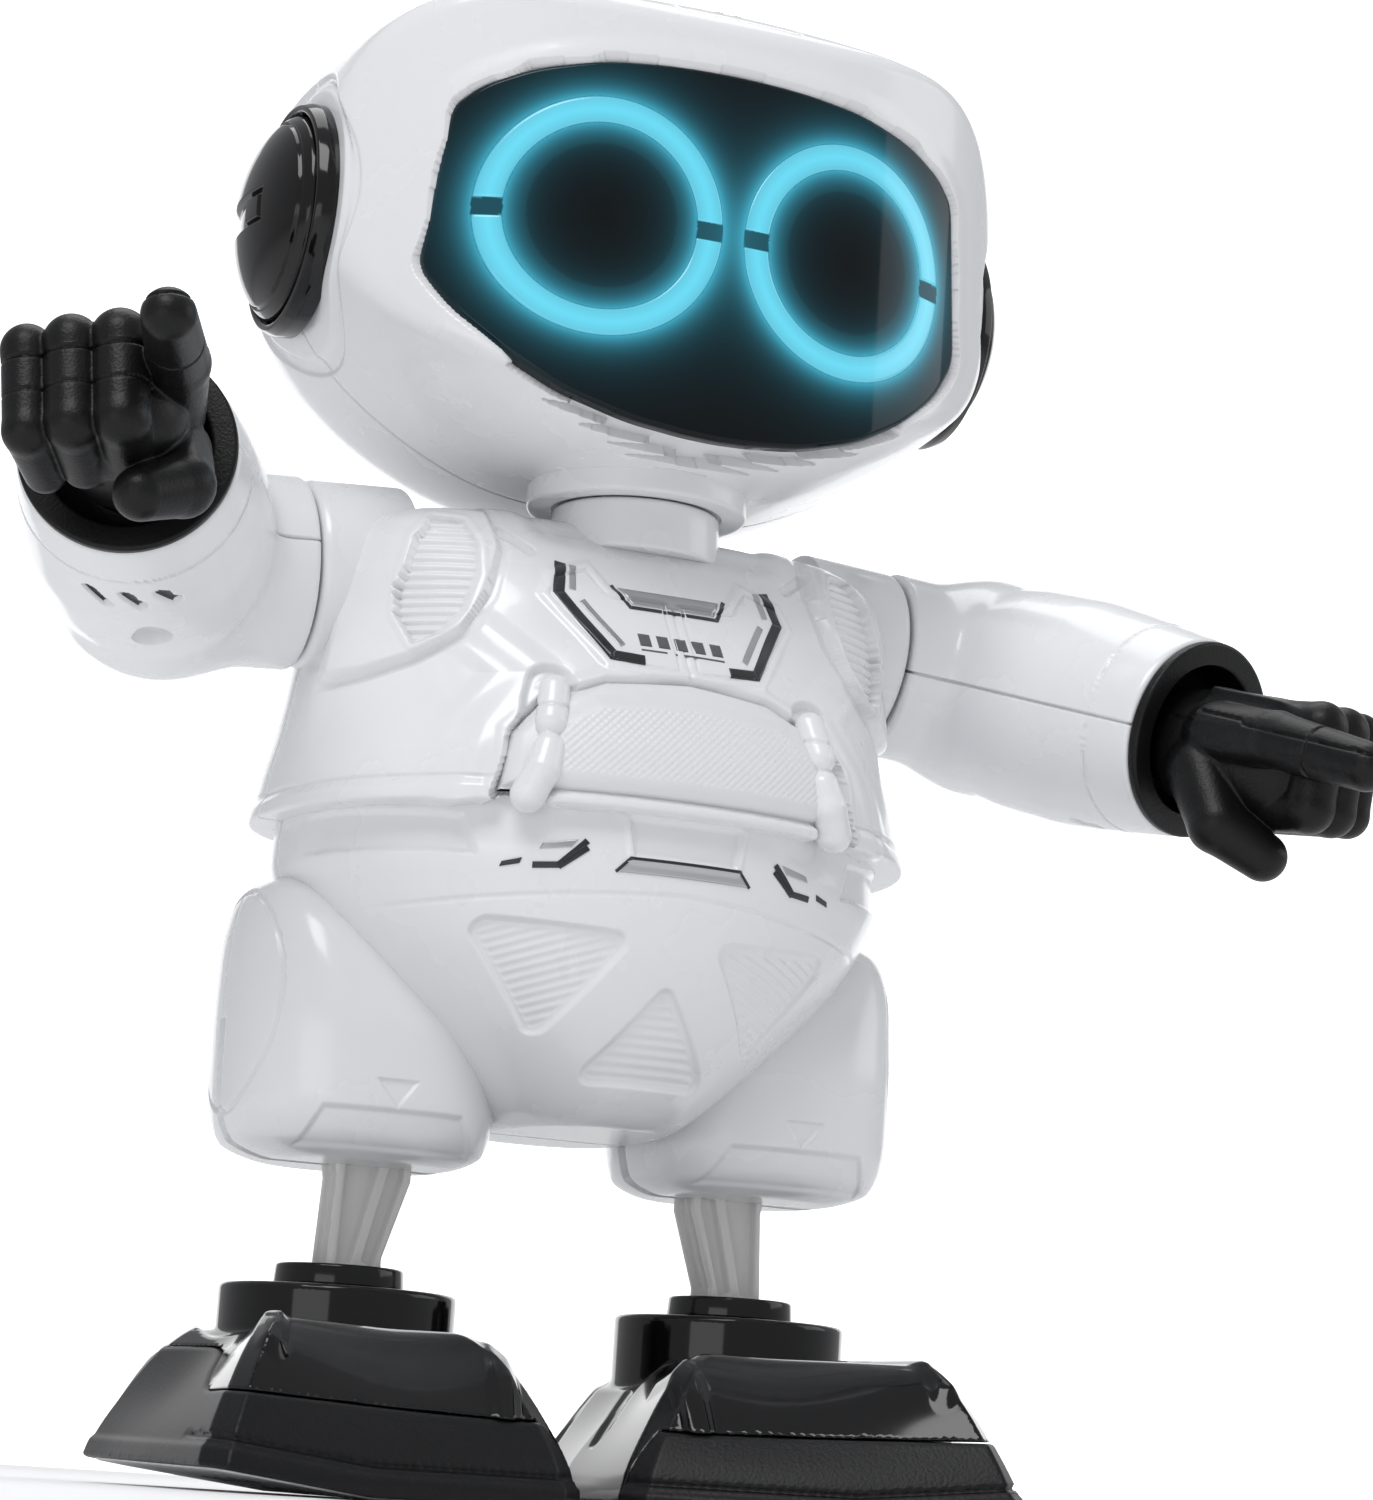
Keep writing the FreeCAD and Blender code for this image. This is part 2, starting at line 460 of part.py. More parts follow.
# ---------------------------------------------------------------- gears
def gear(teeth, width, y0, cx, cz, phase, bore):
    m = MOD
    rp, ra, rf = m * teeth / 2, m * teeth / 2 + m * 0.85, m * teeth / 2 - m * 1.2
    pts = []
    for i in range(teeth):
        t = 2 * pi * i / teeth + phase
        w_p = 2 * pi / teeth
        for r, k in ((rf, -.33), (rp, -.215), (ra, -.10), (ra, .10), (rp, .215), (rf, .33)):
            a = t + k * w_p
            pts.append((cx + r * cos(a), y0, cz + r * sin(a)))
    g = Part.Face(poly(pts)).extrude(V(0, width, 0))
    return g.cut(cyl(bore, width + 2, (cx, y0 - 1, cz), (0, 1, 0)))


CD = MOD * (T_PINION + T_GEAR) / 2 + 0.12
GX, GZ = GEAR_POS
PZ = GZ + CD
g1 = gear(T_GEAR, 4.0, -18.0, GX, GZ, pi / 2 - pi / T_GEAR, 2.05)
crank = g1.fuse(cyl(3.6, 3.0, (GX, -14.0, GZ), (0, 1, 0)).cut(cyl(2.05, 8, (GX, -16, GZ), (0, 1, 0)))).fuse(cyl(1.5, 2.6, (GX + 8.0, -14.0, GZ), (0, 1, 0))).removeSplitter()
put("crank_gear", crank)
put("motor_pinion", gear(T_PINION, 5.0, -18.5, GX, PZ, -pi / 2, 0.9).fuse(cyl(1.0, 12.4, (GX, -18.5, PZ), (0, 1, 0))).removeSplitter())
fr = box(-19, 19, -10.6, -8.4, 56.2, GEAR_POS[1] + 10.4).fuse(cyl(2.0, 10.6, (GX, -19.0, GZ), (0, 1, 0)))
fr = fr.common(loft([oval(z, a, bf, bb, yc, n, off=WALL + .5) for z, a, bf, bb, yc, n in BELLY]))
put("gearbox_frame", biggest(fr.removeSplitter()))
PARTS["drive_motor"] = PARTS["drive_motor"].cut(cyl(1.06, 16, (0, -20, PZ), (0, 1, 0)))

put("body_screws", Part.makeCompound([s.removeSplitter() for s in scr]))

# ---------------------------------------------------------------- arms
A = radians(ELBOW_BEND)


def arm_local(sx):
    """Arm in its own frame: x along the shoulder axis, forearm bent towards -y. sx is +1 left, -1 right."""
    x0 = HUB_LEN + 0.45
    HDIR = (sx * cos(A), -sin(A), 0.0)
    e = V(sx * ELBOW_AT, 0, 0)
    h = V(*HDIR)

    def bell(prof):
        pts = [V(0, 0, 0)] + [V(s, r, 0) for s, r in prof] + [V(prof[-1][0], 0, 0)]
        c = Part.BSplineCurve()
        c.interpolate(Points=pts[1:-1])
        w = Part.Wire([Part.makeLine(pts[0], pts[1]), c.toShape(), Part.makeLine(pts[-2], pts[-1]), Part.makeLine(pts[-1], pts[0])])
        s = Part.Face(w).revolve(V(0, 0, 0), V(1, 0, 0), 360)
        s = s if s.Volume > 0 else s.reversed()
        s.rotate(V(0, 0, 0), V(0, 0, 1), -ELBOW_BEND if sx > 0 else ELBOW_BEND - 180.0)
        s.translate(e)
        return s
    prof = [(0, 15.4), (5, 16.3), (12, 16.9), (20, 17.0), (28, 16.4), (34, 15.6), (FORE_L, CUFF_RO)]
    out = cyl(ARM_R, ELBOW_AT - x0, (sx * x0, 0, 0), (sx, 0, 0)).fuse(Part.makeSphere(ELBOW_R, e)).fuse(bell(prof))
    inn = cyl(ARM_R - WALL, ELBOW_AT - x0 - 3.2, (sx * (x0 + 3.2), 0, 0), (sx, 0, 0)).fuse(Part.makeSphere(ELBOW_R - WALL, e)).fuse(
        bell([(s, r - WALL) for s, r in prof]))
    mouth = e + h * (FORE_L - 7.0)
    # a bulkhead carries the wrist, then the open mouth takes the cuff ring
    bulk = cyl(CUFF_RO - .2, 2.6, tuple(e + h * (FORE_L - 12.0)), HDIR)
    body = out.cut(inn).fuse(bulk.common(out))
    body = body.cut(cyl(CUFF_RI + .9, 20, tuple(e + h * (FORE_L - 5.0)), HDIR))
    body = body.cut(cyl(3.06, 30, tuple(e + h * (FORE_L - 20.0)), HDIR))
    body = body.cut(cyl(BORE_R, 12, (sx * (x0 - 1), 0, 0), (sx, 0, 0)))
    body = body.removeSplitter()
    up = body.common(box(-90, 90, -90, 60, 0.03, 40))
    lo = body.common(box(-90, 90, -90, 60, -40, -0.03))
    # screw tower of the lower shell under the forearm
    q = e + h * 16.0
    lo = lo.cut(cyl(1.6, 40, (q.x, q.y, -40), (0, 0, 1)))
    lo = lo.cut(cyl(2.6, 40, (q.x, q.y, -53.5), (0, 0, 1)))
    ring = cyl(CUFF_RO - .1, 1.7, tuple(e + h * FORE_L), HDIR).fuse(cyl(CUFF_RI + .85, 4.9, tuple(e + h * (FORE_L - 4.9)), HDIR)).cut(
        cyl(CUFF_RI - 1.0, 30, tuple(e + h * (FORE_L - 10.0)), HDIR)).removeSplitter()
    return solids(up), solids(lo), ring


def hand_local(sx):
    """Hand: h along the forearm, m towards the robot's middle, n to the back of the hand."""
    HDIR = (sx * cos(A), -sin(A), 0.0)
    e = V(sx * ELBOW_AT, 0, 0)
    h = V(*HDIR)
    m = V(-sx * sin(A), -cos(A), 0)
    n = V(0, 0, 1)
    o = e + h * FORE_L

    def P(a, b, c):
        q = o + h * a + m * b + n * c
        return (q.x, q.y, q.z)
    items = [cyl(3.0, 14.6, P(-13.0, 0, 0), HDIR), cyl(7.0, 7.0, P(-3.0, 0, 0), HDIR)]
    items.append(capsule(P(4, 1.0, -1.5), P(15, 0.0, -1.0), 8.2, 9.2))
    for b, r, f in ((1.8, 3.5, 23.6), (-4.4, 3.4, 22.8), (-10.2, 3.1, 21.2)):
        items.append(capsule(P(12, b * .85, 4.0), P(f, b, 5.6), r + .3, r + .2))
        items.append(capsule(P(f, b, 5.6), P(f + 1.2, b, -6.0), r + .2, r))
        items.append(capsule(P(f + 1.2, b, -6.0), P(f - 8, b * .9, -7.6), r, r - .4))
    items.append(capsule(P(9, 6.4, 1.5), P(22, 8.8, 2.6), 4.6, 4.1))
    items.append(capsule(P(22, 8.8, 2.6), P(38.5, 9.2, 1.8), 4.0, 3.5))
    items.append(capsule(P(8, 6.6, -4.0), P(14.5, 8.2, -11.0), 5.0, 4.2))
    items.append(capsule(P(14.5, 8.2, -11.0), P(20.0, 3.4, -14.0), 4.1, 3.6))
    return fuse(items)


def place_arm(s, sx, raise_deg):
    s = s.copy()
    s.rotate(V(0, 0, 0), V(1, 0, 0), -raise_deg)
    s.rotate(V(0, 0, 0), V(0, 1, 0), DROOP * sx)
    s.translate(V(sx * SHOULDER[0], SHOULDER[1], SHOULDER[2]))
    return s


for sx, side, up in ((1, "left", RAISE_L), (-1, "right", RAISE_R)):
    upper, lower, ring = arm_local(sx)
    put(side + "_arm_upper_shell", place_arm(upper, sx, up))
    put(side + "_arm_lower_shell", place_arm(lower, sx, up))
    put(side + "_cuff_ring", place_arm(ring, sx, up))
    hand = hand_local(1)
    if sx < 0:
        hand = mirror(hand)
    put(side + "_hand", place_arm(hand, sx, up))
pins = []
for sx in (1, -1):
    p = cyl(PIN_R, HUB_LEN + 8.2, (sx * -4.0, 0, 0), (sx, 0, 0)).fuse(cyl(5.2, 1.8, (sx * (HUB_LEN + 4.2), 0, 0), (sx, 0, 0))).removeSplitter()
    pins.append(place_arm(p, sx, 0))
put("shoulder_pins", Part.makeCompound(pins))


# ---------------------------------------------------------------- legs and feet
def strut(sx):
    """Flat moulded leg with a hub at the hip and an eye at the ankle."""
    t = 4.0
    front = [(25.2, 30.0), (25.2, 33.0), (21.6, 44.0), (21.6, 50.0), (25.6, HIP_Z), (34.6, HIP_Z), (33.6, 50.0), (32.6, 44.0), (33.2, 32.0), (33.2, 30.0), (33.1, ANKLE_Z), (27.1, ANKLE_Z)]
    s = prism([(x, LEG_Y - t, z) for x, z in front], (0, 2 * t, 0))
    s = s.fuse(cyl(5.0, 2 * t, (LEG_X, LEG_Y - t, HIP_Z), (0, 1, 0))).fuse(cyl(3.6, 2 * t, (LEG_X, LEG_Y - t, ANKLE_Z), (0, 1, 0)))
    # open channel between the front ribs, as an A shape
    for pocketp in ([(26.4, 33.0), (28.2, 33.0), (23.4, 46.5), (22.9, 44.4)], [(29.8, 33.0), (32.0, 33.0), (31.4, 46.0), (25.6, 46.5)]):
        for y in (LEG_Y - t - .5, LEG_Y + t - 1.9):
            s = s.cut(prism([(x, y, z) for x, z in pocketp], (0, 2.4, 0)))
    s = s.cut(cyl(2.06, 40, (LEG_X, -20, HIP_Z), (0, 1, 0))).cut(cyl(1.56, 40, (LEG_X, -20, ANKLE_Z), (0, 1, 0))).removeSplitter()
    return s if sx > 0 else mirror(s)


def ankle(sx):
    c = (LEG_X, LEG_Y)
    s = cyl(DISC_R, 3.0, (c[0], c[1], DISC_TOP - 3.0), (0, 0, 1)).fuse(cyl(8.6, DISC_TOP - 15.6, (c[0], c[1], 15.6), (0, 0, 1)))
    s = s.cut(box(c[0] - 6.2, c[0] + 4.6, c[1] - 4.3, c[1] + 4.3, 18.4, 40)).cut(cyl(1.5, 30, (c[0], c[1] - 15, ANKLE_Z), (0, 1, 0))).removeSplitter()
    return s if sx > 0 else mirror(s)


# plan outline of the left shoe about its turret: outer side at large x, toe towards -y
FOOT_OUT = [(24.0, -55.6), (26.6, -52.0), (31.5, 12.0), (30.0, 19.0), (24.0, 23.6), (-16.0, 23.6), (-23.0, 19.0), (-25.6, 12.0), (-27.0, -10.0), (-26.0, -38.0), (-23.0, -41.6)]
RISE = 3.2                    # the sole rises by this much at the outer edge


def plan(scale_in, z, pts=FOOT_OUT, cx=2.0, cy=-14.0):
    q = []
    for x, y in pts:
        d = hypot(x - cx, y - cy)
        k = (d - scale_in) / d
        q.append((LEG_X + cx + (x - cx) * k, LEG_Y + cy + (y - cy) * k, z))
    return poly(q)


def foot(sx):
    low = Part.makeLoft([plan(0.6, 0.0), plan(0, 1.8), plan(0.8, 4.6), plan(6.0, 12.6), plan(12.0, 19.2), plan(17.0, 22.6)], True, True)
    tur = cyl(TURRET_R, 8.6, (LEG_X, LEG_Y, 19.0), (0, 0, 1)).fuse(Part.makeCone(TURRET_R, TURRET_R - 1.2, 0.9, V(LEG_X, LEG_Y, 27.6), V(0, 0, 1)))
    camber = prism([(LEG_X + 4.0, -90, -1), (LEG_X + 4.0, -90, 0), (LEG_X + 32.0, -90, RISE), (LEG_X + 40, -90, RISE + 1), (LEG_X + 40, -90, -1)], (0, 200, 0))
    low = low.cut(camber)
    # matte bumper: the lateral side and the toe, below a line that climbs to the outside
    zone = prism([(LEG_X - 40, -90, -2), (LEG_X + 60, -90, -2), (LEG_X + 60, -90, 30), (LEG_X + 20, -90, 30), (LEG_X + 13, -90, 14.4), (LEG_X - 20, -90, 12.6), (LEG_X - 40, -90, 11.0)], (0, 200, 0))
    zone = zone.cut(box(LEG_X - 60, LEG_X + 13.0, LEG_Y - 30.0, 90, -3, 60)).cut(box(LEG_X - 60, LEG_X - 20.0, -90, 90, -3, 60))
    cav = Part.makeLoft([plan(3.0, 1.9), plan(3.4, 4.6), plan(8.6, 12.6), plan(14.6, 19.2), plan(18.6, 20.6)], True, True)
    floor_cut = prism([(LEG_X - 60, -90, -1), (LEG_X - 60, -90, 2.0), (LEG_X + 4.0, -90, 2.0), (LEG_X + 32.0, -90, RISE + 2.0), (LEG_X + 60, -90, RISE + 4.8), (LEG_X + 60, -90, -1)], (0, 200, 0))
    inset = Part.Face(plan(2.2, -1)).extrude(V(0, 0, 12))
    sole = low.common(floor_cut).common(inset)
    rim = low.cut(inset.common(floor_cut))
    bumper = rim.cut(cav).common(zone).cut(tur)
    upper = rim.fuse(tur).cut(cav).cut(zone)
    upper = upper.cut(cyl(8.75, 40, (LEG_X, LEG_Y, 10), (0, 0, 1)))
    post = cyl(8.0, 13.0, (LEG_X, LEG_Y, 2.0), (0, 0, 1))
    sole = sole.fuse(post).removeSplitter()
    parts = [biggest(upper.removeSplitter()), solids(bumper, 20), sole]
    out = []
    for p in parts:
        p = p if sx > 0 else mirror(p)
        p.rotate(V(sx * LEG_X, LEG_Y, 0), V(0, 0, 1), -TOE)
        out.append(p)
    return out


for sx, side in ((1, "left"), (-1, "right")):
    put(side + "_leg_strut", strut(sx))
    put(side + "_ankle_block", ankle(sx))
    pinp = cyl(1.5, 15.0, (sx * LEG_X, LEG_Y - 7.5, ANKLE_Z), (0, 1, 0))
    PARTS[side + "_ankle_block"] = PARTS[side + "_ankle_block"]
    put(side + "_ankle_pin", pinp)
    u, b, s = foot(sx)
    put(side + "_shoe_top", u)
    put(side + "_shoe_bumper", b)
    put(side + "_sole_plate", s)

# ---------------------------------------------------------------- write
if __name__ == "__main__":
    os.makedirs("parts", exist_ok=True)
    lo = [1e9] * 3
    hi = [-1e9] * 3
    for name, shape in PARTS.items():
        s = shape.copy()
        bb = s.BoundBox
        for i, (a, b) in enumerate(((bb.XMin, bb.XMax), (bb.YMin, bb.YMax), (bb.ZMin, bb.ZMax))):
            lo[i], hi[i] = min(lo[i], a), max(hi[i], b)
        s.translate(SHIFT)
        if not s.isValid():
            print("INVALID", name)
        s.exportStep("parts/%s.step" % name)
        print("%-24s solids %d  volume %.0f" % (name, len(s.Solids), s.Volume))
    print("pieces", len(PARTS), "box", [round(v, 2) for v in lo], [round(v, 2) for v in hi],
          "centre", round((lo[0] + hi[0]) / 2, 3), round((lo[1] + hi[1]) / 2, 3))
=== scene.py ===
"""Looks of a walking toy robot: glossy white shells, dark visor with lit ring eyes, grained black hands and shoe guards."""
import bpy
import numpy as np
from mathutils import Matrix, Vector


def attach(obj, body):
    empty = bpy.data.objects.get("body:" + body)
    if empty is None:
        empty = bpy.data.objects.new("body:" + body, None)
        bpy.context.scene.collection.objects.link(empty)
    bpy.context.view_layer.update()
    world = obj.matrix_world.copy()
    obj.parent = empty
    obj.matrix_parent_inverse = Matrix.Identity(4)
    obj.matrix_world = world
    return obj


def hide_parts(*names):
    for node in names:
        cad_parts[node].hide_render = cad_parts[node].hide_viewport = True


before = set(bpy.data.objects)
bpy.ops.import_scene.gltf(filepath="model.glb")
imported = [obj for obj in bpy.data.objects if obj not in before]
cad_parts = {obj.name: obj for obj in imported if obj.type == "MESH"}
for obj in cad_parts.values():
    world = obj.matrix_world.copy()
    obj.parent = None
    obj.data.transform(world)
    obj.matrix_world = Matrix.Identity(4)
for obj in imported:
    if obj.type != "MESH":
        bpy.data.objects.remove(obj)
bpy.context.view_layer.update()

# ------------------------------------------------------------------ helpers (millimetres, robot's mirror plane at x=0)
def pch(xs, ys, x):
    """Smooth curve through points (cubic Hermite with limited slopes), flat ends outside."""
    xs, ys = np.asarray(xs, float), np.asarray(ys, float)
    h = np.diff(xs); d = np.diff(ys) / h
    m = np.empty(len(xs)); m[0], m[-1] = d[0], d[-1]
    for i in range(1, len(xs) - 1):
        m[i] = 0 if d[i - 1] * d[i] <= 0 else 2 * d[i - 1] * d[i] / (d[i - 1] + d[i]) if abs(d[i-1]*d[i]) > 1e-12 else 0
        if d[i - 1] * d[i] > 0:
            w1, w2 = 2 * h[i] + h[i - 1], h[i] + 2 * h[i - 1]
            m[i] = (w1 + w2) / (w1 / d[i - 1] + w2 / d[i])
    x = np.clip(x, xs[0], xs[-1])
    i = np.clip(np.searchsorted(xs, x) - 1, 0, len(h) - 1)
    t = (x - xs[i]) / h[i]
    t2, t3 = t * t, t * t * t
    return (2*t3 - 3*t2 + 1) * ys[i] + (t3 - 2*t2 + t) * h[i] * m[i] + (-2*t3 + 3*t2) * ys[i + 1] + (t3 - t2) * h[i] * m[i + 1]


def sst(a, b, x):
    t = np.clip((x - a) / (b - a), 0, 1)
    return t * t * (3 - 2 * t)


def smax(a, b, k):
    h = np.clip(0.5 + 0.5 * (a - b) / k, 0, 1)
    return b + (a - b) * h + k * h * (1 - h)


def smin(a, b, k):
    return -smax(-a, -b, k)


def sdpoly(px, pz, pts):
    """Signed distance to a polygon, negative inside."""
    pts = np.asarray(pts, float)
    d = np.full(px.shape, 1e9); s = np.zeros(px.shape, bool)
    n = len(pts)
    for i in range(n):
        a, b = pts[i], pts[(i + 1) % n]
        e = b - a
        wx, wz = px - a[0], pz - a[1]
        t = np.clip((wx * e[0] + wz * e[1]) / (e @ e + 1e-12), 0, 1)
        d = np.minimum(d, (wx - e[0] * t) ** 2 + (wz - e[1] * t) ** 2)
        c = ((a[1] <= pz) & (b[1] > pz)) | ((b[1] <= pz) & (a[1] > pz))
        with np.errstate(divide="ignore", invalid="ignore"):
            xx = a[0] + (pz - a[1]) * e[0] / (e[1] if abs(e[1]) > 1e-12 else 1e-12)
        s ^= c & (px < xx)
    return np.where(s, -1, 1) * np.sqrt(d)


def sdseg(px, pz, pts):
    """Distance to an open polyline."""
    pts = np.asarray(pts, float)
    d = np.full(px.shape, 1e9)
    for a, b in zip(pts, pts[1:]):
        e = b - a
        wx, wz = px - a[0], pz - a[1]
        t = np.clip((wx * e[0] + wz * e[1]) / (e @ e + 1e-12), 0, 1)
        d = np.minimum(d, (wx - e[0] * t) ** 2 + (wz - e[1] * t) ** 2)
    return np.sqrt(d)


def spline_closed(pts, n=240):
    p = np.asarray(pts, float); m = len(p); out = []
    for i in range(m):
        a, b, c, d = p[i - 1], p[i], p[(i + 1) % m], p[(i + 2) % m]
        for t in np.arange(0, 1, m / n):
            out.append(.5 * (2*b + (c - a)*t + (2*a - 5*b + 4*c - d)*t*t + (3*b - a - 3*c + d)*t**3))
    return np.array(out)


def capsule(p, a, b, ra, rb):
    a, b = np.asarray(a, float), np.asarray(b, float)
    e = b - a
    t = np.clip(((p - a) @ e) / (e @ e), 0, 1)
    return np.linalg.norm(p - a - t[:, None] * e, axis=1) - (ra + (rb - ra) * t)


def bump(p, s=1.0, seed=0.0):
    """Cheap smooth pseudo-random field of unit size."""
    x, y, z = p[:, 0] * s + seed, p[:, 1] * s - seed, p[:, 2] * s + 2 * seed
    return np.sin(x * 1.7 + 1.3 * np.sin(y * 1.1)) * np.sin(y * 1.3 + 1.7 * np.sin(z * .9)) * np.sin(z * 1.5 + 1.1 * np.sin(x * 1.2))


# ------------------------------------------------------------------ head
HEAD_Z, SPLIT_Y = 178.0, 5.0
HALF = [(0, 143.6), (11, 143.8), (21, 145.4), (31, 149.4), (39.5, 154.6), (46.5, 161.0), (51.0, 168.5), (52.8, 177.5), (52.9, 187.0),
        (51.2, 196.5), (46.6, 204.6), (38.5, 209.6), (27, 211.9), (13, 213.0), (0, 213.3)]
_o = np.array(HALF + [(-x, z) for x, z in reversed(HALF[1:-1])], float)
_o = spline_closed(_o, 1000)
_ang = np.arctan2(_o[:, 1] - HEAD_Z, _o[:, 0]); _rad = np.hypot(_o[:, 0], _o[:, 1] - HEAD_Z)
_k = np.argsort(_ang); _ang, _rad = _ang[_k], _rad[_k]
_ang = np.r_[_ang[-8:] - 2 * np.pi, _ang, _ang[:8] + 2 * np.pi]; _rad = np.r_[_rad[-8:], _rad, _rad[:8]]
FRONT_Y = -36.5
VISOR_HALF = [(0, 199.0), (10, 198.8), (20, 198.0), (29, 196.0), (35.5, 193.2), (38.8, 190.2), (39.6, 183), (40.6, 174), (41.3, 167.0),
              (37, 160.6), (30, 154.6), (22.5, 150.2), (13, 147.2), (5, 146.2), (0, 146.0)]


def corner_round(half):
    """Visor outline: smooth along the edges and tight in the four corners."""
    full = half + [(-x, z) for x, z in reversed(half[1:-1])]
    out = []
    n = len(full)
    for i in range(n):
        a, b, c = np.array(full[i - 1], float), np.array(full[i], float), np.array(full[(i + 1) % n], float)
        k = .32
        for t in np.linspace(0, 1, 6):
            p0, p2 = b + (a - b) * k, b + (c - b) * k
            out.append((1 - t) ** 2 * p0 + 2 * t * (1 - t) * b + t * t * p2)
    return np.array(out)


VISOR = corner_round(VISOR_HALF)
EYE_X, EYE_Z, EYE_RO, EYE_RI = 18.8, 175.6, 17.2, 13.3


def face_y(x):
    return FRONT_Y + x * x / 220.0 + 1.5e-6 * x ** 4


def head_scale(y):
    front = pch([-52, -44, -37.5, -31, -24, -12, 2, 10], [.42, .66, .79, .902, .958, .990, 1.0, 1.005], np.minimum(y, 10))
    q = np.clip((y - 10) / 33.0, 0, 0.99999)
    rear = 1.005 * (1 - q ** 2.7) ** (1 / 2.7)
    return np.where(y < 10, front, np.maximum(rear, 1e-3))


def f_head(p):
    x, y, z = p[:, 0], p[:, 1], p[:, 2] - HEAD_Z
    s = head_scale(y)
    r = np.hypot(x, z) + 1e-9
    R = np.interp(np.arctan2(z, x), _ang, _rad) * s
    f = (r - R) * (0.62 + 0.38 * np.clip(s, 0, 1))
    zz = p[:, 2]
    # two ribs run front to back over the crown, a soft shallow trough between them
    ax = np.abs(x)
    m = sst(25.0, 26.6, ax) * sst(38.2, 36.6, ax) * sst(-25, -20.5, y) * sst(24, 19.5, y) * sst(194, 200, zz)
    f = f - 1.75 * m
    f = f + 0.35 * sst(24.4, 22.5, ax) * sst(-20, -14, y) * sst(23, 17, y) * sst(200, 205, zz)
    f = smax(f, y - 42.9, .6)
    # crease down the cheek behind the visor
    f = smax(f, face_y(x) - 0.15 - y, 2.2)
    d = sdpoly(x, zz, VISOR)
    f = f + np.where(y < 0, 1.6 * sst(0.42, 0.12, d) - 0.28 * sst(4.2, 1.2, d) * sst(-.2, .7, d), 0)
    # flat seat and shallow step round each ear
    re = np.hypot(y - 4.0, zz - 179.4)
    seat = smax(f, ax - 50.3, .9)
    f = np.where(re < 20.4, seat, f)
    f = f + 0.55 * sst(21.6, 20.9, re) * sst(19.0, 19.8, re) * (ax > 35)
    # line where the front and rear shells meet
    f = f + 0.9 * sst(0.30, 0.14, np.abs(y - SPLIT_Y))
    # fine groove outlining a panel round the mark on the crown
    q = sdpoly(x, y, [(-9, -34), (9, -34), (10.5, -22), (-10.5, -22)])
    f = f + 0.22 * sst(.34, .12, np.abs(q - .5)) * (zz > 198)
    return f


# ------------------------------------------------------------------ torso
BELLY = [(52.2, 12.5, 26.5, 15.0, 9, 2.4), (56.0, 17.5, 31.0, 19.0, 9, 2.3), (62.0, 24.5, 35.4, 22.5, 9, 2.2), (69.0, 32.0, 38.6, 25.5, 9, 2.15),
         (76.0, 38.4, 41.0, 27.2, 9, 2.1), (82.0, 42.4, 42.4, 28.0, 9, 2.05), (88.0, 44.6, 43.2, 28.4, 9, 2.05), (94.0, 44.2, 42.6, 28.2, 9, 2.05),
         (101.0, 42.6, 41.0, 27.6, 9, 2.05)]
VEST = [(92.0, 47.9, 45.3, 30.7, 9.5, 2.2), (100.0, 46.6, 44.8, 30.2, 9.5, 2.15), (107.0, 45.0, 43.0, 29.4, 9.5, 2.1), (115.5, 43.6, 38.8, 28.0, 9.2, 2.15),
        (122.0, 42.6, 33.6, 26.4, 9, 2.4), (128.0, 41.8, 29.4, 24.4, 9, 2.8), (134.0, 40.0, 25.4, 21.0, 9, 3.0), (138.0, 34.0, 21.0, 16.0, 8, 2.8),
        (139.8, 25.0, 16.0, 10.5, 6, 2.5)]


def section(p, S):
    """Signed closeness to a stack of oval sections (z, a, front, rear, yc, n)."""
    S = np.asarray(S, float)
    z = p[:, 2]
    a, bf, bb, yc, n = (pch(S[:, 0], S[:, i], z) for i in (1, 2, 3, 4, 5))
    y = p[:, 1] - yc
    b = np.where(y < 0, bf, bb)
    r = np.hypot(p[:, 0], y) + 1e-9
    q = (np.abs(p[:, 0] / a) ** n + np.abs(y / b) ** n) ** (1 / n)
    return (q - 1) * r / np.maximum(q, .2)


VEST_Z0 = 93.6
# chest plate, shoulder bosses and seams in the front view (x, z); x is mirrored
PLATE = [(0, 126.5), (8.6, 126.5), (11.5, 130.8), (17.8, 128.6), (19.4, 124.4), (12.0, 113.6), (0, 112.6)]
BOSS = [(24.8, 137.4), (32.0, 138.2), (40.5, 137.5), (48.0, 133.0), (48.0, 112.0), (40.5, 112.6), (36.0, 114.2), (30.0, 118.0), (26.4, 124.0), (24.2, 131.0)]
RIBIN = [(28.4, 135.1), (31.8, 135.6), (34.8, 132.0), (36.6, 126.0), (36.9, 120.0), (35.4, 116.0), (32.6, 117.4), (29.6, 121.0), (27.6, 126.6), (27.2, 131.6)]
POCKET = [(-26, 95.2), (-24.6, 103.0), (-20.0, 108.2), (-12, 111.6), (0, 112.8), (12, 111.6), (20.0, 108.2), (24.6, 103.0), (26, 95.2)]


